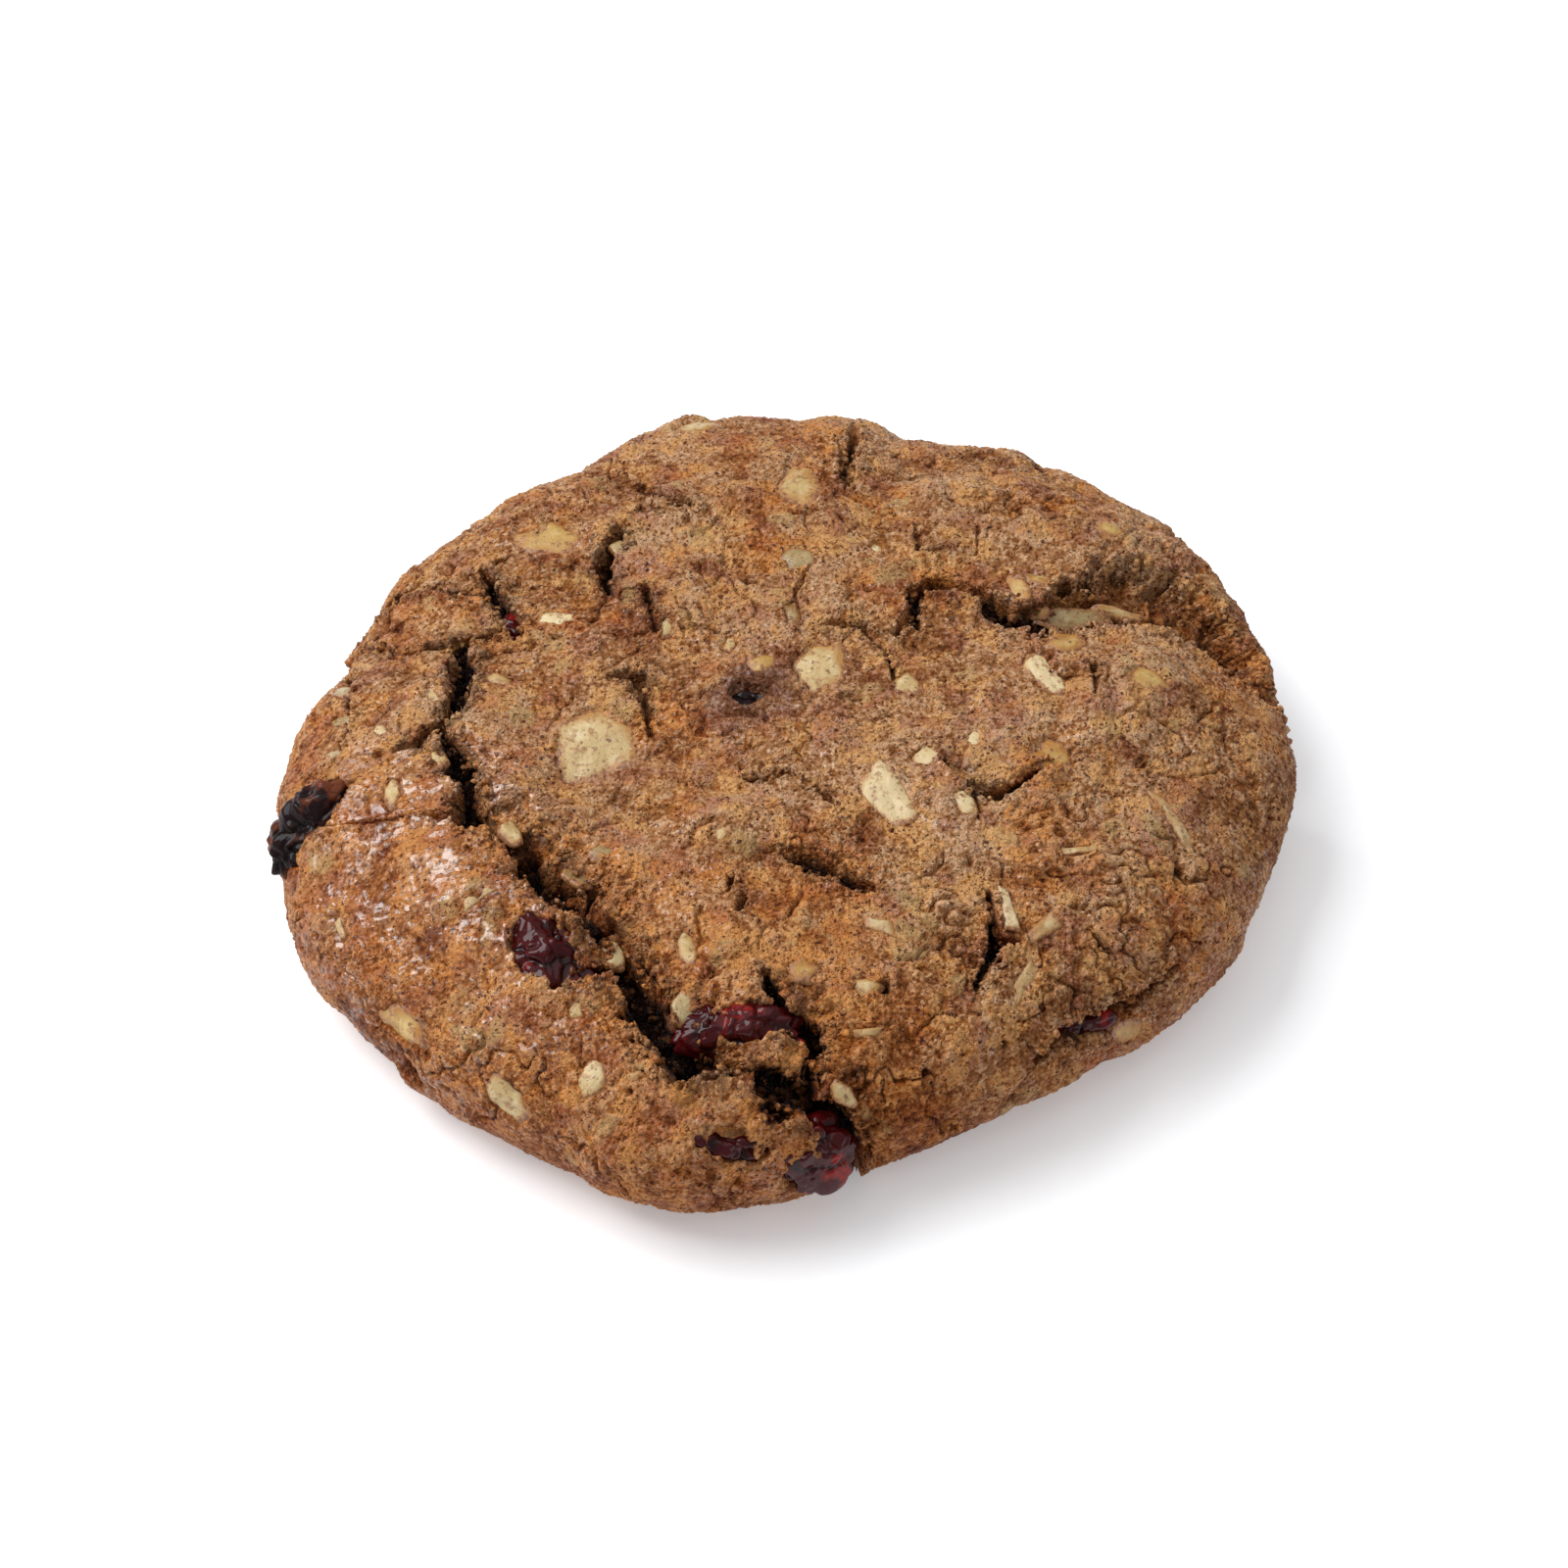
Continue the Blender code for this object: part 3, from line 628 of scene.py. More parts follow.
STAINS = (
    Stain(-1.5, 0.5, 8.0, 6.0, 15, 0.8),
    Stain(-3.2, 0.3, 3.6, 2.8, 20, 2.4),
    Stain(-6.0, -5.6, 4.0, 2.4, -20, 0.5),
    Stain(-12.0, 10.5, 8.0, 5.0, 0, 0.6),
    Stain(-23.0, -5.5, 4.0, 3.0, -30, 0.7),
    Stain(-19.0, 26.0, 8.0, 4.0, 25, 0.4),
    Stain(14.0, -9.0, 12.0, 7.0, 0, -0.5),
    Stain(6.0, 14.0, 8.0, 6.0, 0, -0.1),
    Stain(-34.0, 3.0, 5.0, 7.0, 0, -0.1),
    Stain(-31.0, -20.0, 9.0, 12.0, 35, 0.5),
    Stain(30.0, 22.0, 10.0, 6.0, -35, -0.2),
    Stain(32.0, -2.0, 9.0, 6.0, 0, 0.25),
    Stain(12.0, -38.0, 14.0, 5.0, 0, 0.3),
    Stain(36.0, -22.0, 8.0, 10.0, -30, 0.3),
)


def stain_field(sheet: Array) -> Array:
    """Sum of all stains at places on the sheet: each a two-way bell shape with an uneven edge."""
    total = np.zeros(len(sheet))
    uneven = 1.0 + 0.35 * noise(flat_points(sheet), 4.0, 51)
    for stain in STAINS:
        along, across = turned(sheet[:, 0], sheet[:, 1], stain)
        away = np.hypot(along / stain.length, across / stain.width) * uneven
        total += stain.strength * np.exp(-(away**2))
    return total


@dataclass
class CookieForm:
    """The form of the whole crust, worked out on its sheet. Lengths are in millimetres.

    Args:
        radius_x: Plan radius of the widest line along X, before the outline's swells.
        radius_y: The same along Y.
        plate_height: Height of the plate, on which the mounds stand.
        widest_height: Height of the widest line.
        base_inset: How far the wall curves in from the widest line to the base.
        plan_squareness: How square the section's shoulder is outwards.
        crown_squareness: How square it is upwards.
        far_side: How much wider a crack is on its far side.
        shoulder_depth: How deep the torn dough slopes down behind a deep crack.
        shoulder_width: How wide that slope is.
        depth_limit: Depth that the deepest cracks come close to.
        wall_shift: How far the walls of cracks are shifted sideways.
        lip_height: How far a torn edge stands up.
        hair_depth: Depth of the hair cracks.
        pit_depth: Depth of the small pits.
        veil_height: How far the crust stands up over a flake just under it.
        beds: Beds of the flakes and fruit.
        veils: Places of the flakes just under the crust.
    """

    radius_x: float = 43.2
    radius_y: float = 42.4
    plate_height: float = 18.5
    widest_height: float = 8.0
    base_inset: float = 6.0
    plan_squareness: float = 3.2
    crown_squareness: float = 2.3
    far_side: float = 1.2
    shoulder_depth: float = 1.9
    shoulder_width: float = 3.2
    depth_limit: float = 4.6
    wall_shift: float = 0.5
    lip_height: float = 0.2
    hair_depth: float = 0.5
    pit_depth: float = 0.3
    veil_height: float = 0.16
    beds: tuple[Bed, ...] = ()
    veils: tuple[Bed, ...] = ()

    def __post_init__(self) -> None:
        """Works out the section of the cookie once: length over the crust, radius and height."""
        quarter = np.linspace(0, math.pi / 2, 1200)
        radius = self.radius_x * np.sin(quarter) ** (2 / self.plan_squareness)
        rise = self.plate_height - self.widest_height
        height = self.widest_height + rise * np.cos(quarter) ** (2 / self.crown_squareness)
        below = quarter[1:]
        radius = np.concatenate([radius, self.radius_x - self.base_inset * (1 - np.cos(below))])
        height = np.concatenate([height, self.widest_height * (1 - np.sin(below))])
        steps = np.hypot(np.diff(radius), np.diff(height))
        self.section = (np.concatenate([[0], np.cumsum(steps)]), radius, height)
        self.sheet_radius = float(self.section[0][-1])
        self.widest_length = float(self.section[0][1199])

    def rim_radius(self, azimuth: Array) -> Array:
        """Plan radius of the widest line: an ellipse with bell-shaped swells of the outline on it."""
        radius = self.radius_x * self.radius_y
        radius = radius / np.hypot(self.radius_y * np.cos(azimuth), self.radius_x * np.sin(azimuth))
        for degrees, spread, swell in SWELLS:
            turn = (azimuth - math.radians(degrees) + math.pi) % (2 * math.pi) - math.pi
            radius = radius + swell * np.exp(-((turn / math.radians(spread)) ** 2))
        return radius

    def crown_height(self, x: Array, y: Array) -> Array:
        """Height of the crown in plan: the plate with its mounds and hollows."""
        height = np.full(np.shape(x), self.plate_height)
        for mound in MOUNDS:
            along, across = turned(x, y, mound)
            bell = np.exp(-((along / mound.length) ** 2) - (across / mound.width) ** 2)
            height = height + mound.height * bell
        return height

    def bare_surface(self, sheet: Array) -> Array:
        """Points in space of places on the sheet, without lumps or cracks.

        The section gives radius and height over the length along the crust. The radius is scaled to
        the rim's own radius, and the height above the widest line to the crown's height there.
        """
        length = np.clip(np.hypot(sheet[:, 0], sheet[:, 1]), 0, self.sheet_radius)
        azimuth = np.arctan2(sheet[:, 1], sheet[:, 0])
        radius = np.interp(length, self.section[0], self.section[1])
        radius = radius * self.rim_radius(azimuth) / self.radius_x
        height = np.interp(length, self.section[0], self.section[2])
        x, y = radius * np.cos(azimuth), radius * np.sin(azimuth)
        share = np.clip((height - self.widest_height) / (self.plate_height - self.widest_height), 0, 1)
        crown = self.widest_height + (self.crown_height(x, y) - self.widest_height) * share
        return np.stack([x, y, np.where(share > 0, crown, height)], axis=1)

    def place(self, sheet: Array, step: float = 0.25) -> Place:
        """Local directions at places on the sheet, from small steps both ways.

        Below the widest line the outward direction turns level, so that the base stays flat.
        """
        half = np.array([[step, 0.0], [0.0, step]])
        length = np.hypot(sheet[:, 0], sheet[:, 1])[:, None]
        inside = sheet * np.minimum(1, (self.sheet_radius - step) / np.maximum(length, step))
        along_x = self.bare_surface(inside + half[0]) - self.bare_surface(inside - half[0])
        along_y = self.bare_surface(inside + half[1]) - self.bare_surface(inside - half[1])
        normal = np.cross(along_x, along_y)
        normal /= np.linalg.norm(normal, axis=1)[:, None]
        along_x /= np.linalg.norm(along_x, axis=1)[:, None]
        point = self.bare_surface(sheet)
        level = point * np.array([1.0, 1.0, 0.0])
        level /= np.maximum(np.linalg.norm(level, axis=1), 1e-6)[:, None]
        levelled = smooth_step(0.1, -0.05, normal[:, 2])[:, None]
        outward = normal * (1 - levelled) + level * levelled
        outward /= np.linalg.norm(outward, axis=1)[:, None]
        return Place(point, outward, along_x, np.cross(normal, along_x))

    def near_crack(self, sheet: Array) -> tuple[Array, Array]:
        """(distance, offset) from the nearest crack's middle line to each place on the sheet."""
        best = np.full(len(sheet), np.inf)
        offset = np.zeros_like(sheet)
        for crack in CRACKS:
            line = np.array(crack.line)
            for start, end in zip(line[:-1, :2], line[1:, :2]):
                _, away, distance = from_segment(sheet, start, end)
                nearer = distance < best
                best[nearer] = distance[nearer]
                offset[nearer] = away[nearer]
        return best, offset

    def crack_lines(self, sheet: Array) -> list[tuple[Crack, Array, Array, Array, Array, Array, Array]]:
        """Measures every crack near the given places.

        Returns:
            For each crack: the crack, which places are near it, their distance from its middle line,
            its half width and depth there, 1 or -1 for the side, and how much they lie behind it.
        """
        found = []
        for crack in CRACKS:
            line = np.array(crack.line)
            reach = line[:, 2].max() * 2.5 + 4.0
            low, high = line[:, :2].min(axis=0) - reach, line[:, :2].max(axis=0) + reach
            close = np.nonzero(((sheet > low) & (sheet < high)).all(axis=1))[0]
            here = sheet[close]
            best = np.full(len(here), np.inf)
            half_width, deep, side, behind = (np.ones(len(here)) for _ in range(4))
            for start, end in zip(line[:-1], line[1:]):
                along, away, distance = from_segment(here, start[:2], end[:2])
                nearer = distance < best
                best = np.where(nearer, distance, best)
                beyond = np.clip(away[:, 1] / np.maximum(distance, 1e-6), 0, 1)
                wide = (start[2] + along * (end[2] - start[2])) * (1 + (self.far_side - 1) * beyond)
                half_width = np.where(nearer, wide, half_width)
                deep = np.where(nearer, start[3] + along * (end[3] - start[3]), deep)
                left = (end[0] - start[0]) * away[:, 1] - (end[1] - start[1]) * away[:, 0]
                side = np.where(nearer, np.sign(left), side)
                behind = np.where(nearer, beyond, behind)
            found.append((crack, close, best, half_width, deep, side, behind))
        return found

    def crack_field(self, sheet: Array, place: Place) -> tuple[Array, Array, Array, Array]:
        """Depth of the cracks, the shade painted into them, the step across them, and how near their edges
        are.

        Each crack is a valley. Across it, depth goes as 1 - smooth_step of the distance over the half
        width. Behind a deep crack the torn dough slopes down to it, as a wide and shallow valley. The
        distance strays with a noise that is read at the depth of the plain valley, so that the sides
        are torn and not cut, and don't run down in flutes. The deepest valleys are made shallower, as
        limit times tanh(depth over limit). Painted shade for the colour is depth over width.

        Args:
            sheet: Places on the sheet.
            place: The same places in space, on the bare surface.

        Returns:
            Depth in mm, painted shade, step in mm, and nearness from 0, far off, to 1, at an edge.
        """
        lines = self.crack_lines(sheet)
        plain = np.zeros(len(sheet))
        for _, close, best, half_width, deep, _, _ in lines:
            valley = deep * (1 - smooth_step(0.2, 1.1, best / half_width))
            plain[close] = np.maximum(plain[close], valley)
        torn = self.torn(place.point - place.outward * plain[:, None], plain)
        depth, dark, step, near = (np.zeros(len(sheet)) for _ in range(4))
        for crack, close, best, half_width, deep, side, behind in lines:
            stray = crack.ragged * half_width + 0.15 + 0.35 * np.clip((deep - 1.5) / 2.5, 0, 1)
            stray = torn[close] * stray
            share = (best + stray) / half_width
            valley = deep * (1 - smooth_step(crack.floor, 1.1, share))
            strength = crack.shoulder * np.clip((deep - 2.0) / 3.0, 0, 1) * behind
            out = (best + 2.2 * stray) / (half_width + self.shoulder_width)
            shoulder = strength * (1 - smooth_step(0.35, 1.0, out))
            depth[close] = np.maximum(depth[close], np.maximum(valley, self.shoulder_depth * shoulder))
            # Painted shade: deep, narrow valleys and the torn slope behind them are darkened in colour.
            shade = np.maximum(valley / (2.2 * half_width + 0.8), 0.25 * shoulder)
            dark[close] = np.maximum(dark[close], shade)
            step[close] += 0.5 * crack.step * side * np.exp(-best / 2.6)
            width = 0.5 + 0.45 * np.clip((deep - 1.0) / 3.0, 0, 1)
            sharp = np.clip(deep / 2.5, 0.25, 1.0) * np.exp(-((share - 1.0) * half_width / width) ** 2)
            near[close] = np.maximum(near[close], np.maximum(sharp, 0.75 * shoulder))
        depth = self.depth_limit * np.tanh(depth / self.depth_limit)
        for x, y, radius, deep in PINHOLES:
            distance = np.hypot(sheet[:, 0] - x, sheet[:, 1] - y) + 0.35 * radius * torn
            hole = deep * (1 - smooth_step(0.4, 1.05, distance / radius))
            depth = np.maximum(depth, hole)
            # Painted shade inside the holes: their depth over their radius.
            dark = np.maximum(dark, hole / (3.5 * radius + 1.5))
        return depth, dark, step, near

    def torn(self, point: Array, depth: Array) -> Array:
        """How far torn edges stray, from -1 to 1: noise of 2.1, 1.0 and, near the top, 0.5 mm."""
        fine = 0.45 * np.exp(-depth / 1.2)
        return 0.5 * noise(point, 2.1, 31) + 0.45 * noise(point, 1.0, 32) + fine * noise(point, 0.5, 33)

    def hairlines(self, sheet: Array) -> Array:
        """Hair cracks: lines where a noise passes through zero, in some patches of the crust."""
        flat = flat_points(sheet)
        line = noise(flat, 5.5, 22) + 0.35 * noise(flat, 1.3, 23)
        other = noise(flat, 3.6, 26) + 0.35 * noise(flat, 1.1, 27)
        patches = smooth_step(0.1, 0.4, noise(flat, 7.0, 24))
        others = smooth_step(0.2, 0.5, noise(flat, 6.0, 25))
        hair = np.exp(-((line / 0.05) ** 2)) * patches
        return np.maximum(hair, np.exp(-((other / 0.06) ** 2)) * others)

    def relief(self, sheet: Array, place: Place) -> Relief:
        """Everything on the bare surface: lumps, torn cracks, pits, grains and beds.

        Grains are hills with sharp valleys between them, as the absolute value of noise. The noise
        of a crack's walls is read at their own depth, so that it doesn't run down them in streaks.

        Args:
            sheet: Places on the sheet.
            place: The same places in space, on the bare surface.

        Returns:
            The relief at each place.
        """
        depth, dark, step, near = self.crack_field(sheet, place)
        point = place.point
        swollen = lumps(point)
        grain = sum(size * (np.abs(noise(point, cell, seed)) - FOLD_MEAN) for cell, size, seed in GRAINS)
        smooth = np.exp(-(((sheet - SMOOTH_LOBE[:2]) / SMOOTH_LOBE[2]) ** 2).sum(axis=1))
        grain = grain * (1.0 - 0.5 * smooth) * (1.0 + 0.4 * noise(point, 6.0, 28))
        hair = self.hairlines(sheet) * (1.0 - 0.7 * smooth)
        patch = smooth_step(0.1, 0.5, noise(point, 6.0, 21)) * (1.0 - 0.7 * smooth)
        pits = smooth_step(0.3, 0.55, noise(point, 1.1, 20)) * patch
        ridged = 0.5 * (FOLD_MEAN - np.abs(noise(point, 0.9, 36))) + 0.22 * noise(point, 0.4, 38)
        crumbs = near * (0.45 * noise(point, 1.4, 35) + ridged)
        lowered = point - place.outward * depth[:, None]
        walls = 0.9 * noise(lowered, 2.6, 18) + 1.1 * np.abs(noise(lowered, 1.4, 19))
        walls = (walls + 0.3 * noise(lowered, 0.7, 37)) * np.clip((depth - 0.3) / 2.5, 0, 1)
        torn = self.torn(point, np.zeros(len(sheet)))
        sunk, bedded, veil = (np.zeros(len(sheet)) for _ in range(3))
        for bed in self.beds + self.veils:
            reach = 1.6 * max(bed.length, bed.width) + 0.5
            close = np.nonzero((np.abs(sheet - (bed.x, bed.y)) < reach).all(axis=1))[0]
            if len(close) and bed.depth > 0:
                hole = bed.sunk(sheet[close], torn[close])
                sunk[close] = np.maximum(sunk[close], hole)
                bedded[close] = np.maximum(bedded[close], hole / bed.depth)
                border = (bed.share(sheet[close]) - 1.0) * bed.width / 0.8
                near[close] = np.maximum(near[close], bed.torn_rim * np.exp(-(border**2)))
            elif len(close):
                out = bed.share(sheet[close]) + bed.ragged * torn[close] / bed.width
                veil[close] = np.maximum(veil[close], 1 - smooth_step(0.7, 1.05, out))
        veil = veil * (1 - np.clip(2 * near, 0, 1))
        lip = self.lip_height * near * np.clip(1 - depth, 0, 1)
        fine = grain * (1 - 0.6 * veil) - self.hair_depth * hair - self.pit_depth * pits
        fine = (fine + crumbs) * (1.0 - bedded)
        height = swollen + fine + walls + step + lip + self.veil_height * veil - np.maximum(depth, sunk)
        # Painted shade for the colour: strong in cracks and holes, weaker in hairlines and pits.
        recess_shade = np.clip(np.maximum(dark, 0.5 * hair + 0.35 * pits), 0, 1)
        # Raised tops and dips, for the colour: partly toasted tops, partly painted light on tops and
        # painted shade in dips.
        raised = np.clip(0.5 * grain / 0.1 + 0.6 * swollen, -1, 1)
        # The wall darkens towards the base through the stain value: partly a browner baked edge, partly
        # painted shade where it turns from the light.
        side = smooth_step(15.5, 7.0, point[:, 2])
        return Relief(height, depth, recess_shade, near, raised, stain_field(sheet) + 0.7 * side, veil)

    def crust(self, sheet: Array) -> tuple[Array, dict[str, Array]]:
        """Points in space of the finished crust, and the values that its material reads.

        The walls of cracks are shifted sideways too, by a noise that is read where they are, so that
        they overhang in places.
        """
        place = self.place(sheet)
        relief = self.relief(sheet, place)
        points = place.point + place.outward * relief.height[:, None]
        reach = self.wall_shift * np.clip((relief.depth - 0.3) / 2.0, 0, 1)
        for way, seed in ((place.along_x, 81), (place.along_y, 82)):
            points = points + way * (reach * noise(points, 1.5, seed))[:, None]
        return points, relief.values()


# ---- Materials ----


class NodeBoard:
    """Adds nodes to one node tree and joins them, so that a material reads as a short list."""

    def __init__(self, tree: bpy.types.NodeTree) -> None:
        """Starts on a tree."""
        self.tree = tree

    def add(
        self, kind: str, inputs: dict[str | int, object] | None = None, **settings: object
    ) -> bpy.types.Node:
        """Adds a node.

        Args:
            kind: Blender's name of the node type.
            inputs: What each input socket gets: a number, a colour, or a socket to be joined.
            **settings: The node's own settings.

        Returns:
            The new node.
        """
        node = self.tree.nodes.new(kind)
        for name, value in settings.items():
            setattr(node, name, value)
        for name, value in (inputs or {}).items():
            if isinstance(value, Socket):
                self.tree.links.new(value, node.inputs[name])
            else:
                node.inputs[name].default_value = value
        return node

    def math(self, operation: str, first: object, second: object = 0.0, clamp: bool = False) -> Socket:
        """A sum, product or other operation on two numbers or sockets."""
        node = self.add("ShaderNodeMath", {0: first, 1: second}, operation=operation, use_clamp=clamp)
        return node.outputs[0]

    def times(self, first: object, second: object) -> Socket:
        """A product."""
        return self.math("MULTIPLY", first, second)

    def plus(self, first: object, second: object, clamp: bool = False) -> Socket:
        """A sum, which is kept from 0 to 1 with clamp."""
        return self.math("ADD", first, second, clamp)

    def mix(self, share: object, first: object, second: object, blend: str = "MIX") -> Socket:
        """A blend of two colours by a share from 0 to 1."""
        node = self.add("ShaderNodeMix", data_type="RGBA", blend_type=blend)
        for index, value in ((0, share), (6, first), (7, second)):
            if isinstance(value, Socket):
                self.tree.links.new(value, node.inputs[index])
            elif isinstance(value, tuple):
                node.inputs[index].default_value = (*value, 1.0)
            else:
                node.inputs[index].default_value = value
        return node.outputs[2]

    def colours(self, value: object, stops: tuple[tuple[float, Colour], ...]) -> Socket:
        """A row of colours, read at a value from 0 to 1."""
        node = self.add("ShaderNodeValToRGB", {0: value})
        row = node.color_ramp.elements
        while len(row) < len(stops):
            row.new(0.5)
        for element, (place, colour) in zip(row, stops):
            element.position = place
            element.color = (*colour, 1.0)
        return node.outputs["Color"]

    def ramp(self, value: object, low: float, high: float) -> Socket:
        """0 below low, 1 above high and a smooth rise between."""
        inputs = {"Value": value, "From Min": low, "From Max": high}
        return self.add("ShaderNodeMapRange", inputs, interpolation_type="SMOOTHSTEP").outputs[0]

    def noise(self, where: object, scale: float, detail: float = 2.0, rough: float = 0.5) -> Socket:
        """Blender's noise, from 0 to 1, with lumps of 1/scale metres."""
        inputs = {"Vector": where, "Scale": scale, "Detail": detail, "Roughness": rough}
        return self.add("ShaderNodeTexNoise", inputs).outputs[0]

    def attribute(self, name: str) -> Socket:
        """A named value of the mesh."""
        return self.add("ShaderNodeAttribute", attribute_name=name).outputs["Fac"]


def new_group(name: str, inputs: dict[str, tuple[str, float]], outputs: dict[str, str]) -> tuple:
    """Starts a shader node group with named inputs and outputs.

    Args:
        name: Name of the group.
        inputs: Socket type and default value of each input.
        outputs: Socket type of each output.

    Returns:
        The group, a board on it, its input node and its output node.
    """
    group = bpy.data.node_groups.new(name, "ShaderNodeTree")
    for socket, (kind, value) in inputs.items():
        made = group.interface.new_socket(socket, in_out="INPUT", socket_type=kind)
        if kind == "NodeSocketFloat":
            made.default_value = value
    for socket, kind in outputs.items():
        group.interface.new_socket(socket, in_out="OUTPUT", socket_type=kind)
    board = NodeBoard(group)
    return group, board, board.add("NodeGroupInput"), board.add("NodeGroupOutput")


def speckle_group() -> bpy.types.NodeTree:
    """Dark specks of spice: small round spots in some cells of a cell pattern.

    A spot shows where the distance to the cell's middle is under Size, and in the share Amount of
    the cells. The place is bent a little by noise, so that the spots aren't round.
    """
    sockets = {
        "Vector": ("NodeSocketVector", 0.0),
        "Scale": ("NodeSocketFloat", 900.0),
        "Size": ("NodeSocketFloat", 0.2),
        "Amount": ("NodeSocketFloat", 0.5),
    }
    group, board, given, put = new_group("spice_specks", sockets, {"Mask": "NodeSocketFloat"})
    place = given.outputs["Vector"]
    bend = board.add("ShaderNodeTexNoise", {"Vector": place, "Scale": 2600.0, "Detail": 1.0})
    shift = board.add("ShaderNodeVectorMath", {0: bend.outputs["Color"], 3: 0.0006}, operation="SCALE")
    where = board.add("ShaderNodeVectorMath", {0: place, 1: shift.outputs[0]}, operation="ADD")
    cells = board.add("ShaderNodeTexVoronoi", {"Vector": where.outputs[0], "Scale": given.outputs["Scale"]})
    near = board.math("SUBTRACT", given.outputs["Size"], cells.outputs["Distance"])
    spot = board.ramp(near, 0.0, 0.06)
    red = board.add("ShaderNodeSeparateColor", {0: cells.outputs["Color"]}).outputs[0]
    kept = board.math("LESS_THAN", red, given.outputs["Amount"])
    board.tree.links.new(board.times(spot, kept), put.inputs["Mask"])
    return group


def grain_group() -> bpy.types.NodeTree:
    """Crumbly grain: a height of rounded grains of two sizes with finer noise, and their tone.

    Height is the smooth cell distance turned up side down, which gives one dome to each cell.
    """
    sockets = {"Vector": ("NodeSocketVector", 0.0), "Scale": ("NodeSocketFloat", 1600.0)}
    outputs = {"Height": "NodeSocketFloat", "Tone": "NodeSocketFloat"}
    group, board, given, put = new_group("crumb_grain", sockets, outputs)
    where, scale = given.outputs["Vector"], given.outputs["Scale"]
    domes = board.add(
        "ShaderNodeTexVoronoi", {"Vector": where, "Scale": scale, "Smoothness": 0.6}, feature="SMOOTH_F1"
    )
    small = board.add("ShaderNodeTexVoronoi", {"Vector": where, "Scale": board.times(scale, 2.3)})
    fine = board.times(scale, 1.4)
    rough = board.add("ShaderNodeTexNoise", {"Vector": where, "Scale": fine, "Detail": 3.0})
    height = board.times(domes.outputs["Distance"], -0.7)
    height = board.plus(height, board.times(small.outputs["Distance"], -0.3))
    height = board.plus(height, board.times(rough.outputs[0], 0.7))
    board.tree.links.new(height, put.inputs["Height"])
    tone = board.add("ShaderNodeSeparateColor", {0: domes.outputs["Color"]}).outputs[1]
    board.tree.links.new(tone, put.inputs["Tone"])
    return group


@dataclass(frozen=True)
class Groups:
    """The node groups that several materials share."""

    specks: bpy.types.NodeTree
    grain: bpy.types.NodeTree

    @classmethod
    def build(cls) -> Groups:
        """Makes each group once."""
        return cls(speckle_group(), grain_group())


def new_material(name: str) -> tuple[bpy.types.Material, NodeBoard, bpy.types.Node]:
    """Starts a material: itself, a board on its tree, and its Principled BSDF."""
    material = bpy.data.materials.new(name)
    material.use_nodes = True
    board = NodeBoard(material.node_tree)
    return material, board, material.node_tree.nodes["Principled BSDF"]


def dress(
    board: NodeBoard,
    shader: bpy.types.Node,
    colour: Socket,
    bump: tuple[Socket, float, float],
    values: dict[str, object],
) -> None:
    """Gives a shader its colour, its fine relief and its constant values.

    Args:
        board: Board of the material.
        shader: Its Principled BSDF.
        colour: Its base colour.
        bump: Height, strength, and distance in metres of its fine relief.
        values: Constant values of its other sockets.
    """
    board.tree.links.new(colour, shader.inputs["Base Color"])
    for name, value in values.items():
        shader.inputs[name].default_value = value
    height, strength, distance = bump
    made = board.add("ShaderNodeBump", {"Height": height, "Strength": strength, "Distance": distance})
    board.tree.links.new(made.outputs[0], shader.inputs["Normal"])


def object_place(board: NodeBoard) -> Socket:
    """The place on the piece, in metres."""
    return board.add("ShaderNodeTexCoord").outputs["Object"]


# Middle and half sizes of the oval where the crust is glossy, in metres.
GLOSSY_LOBE = ((-0.0285, -0.0215, 0.0150), (0.016, 0.022, 0.014))


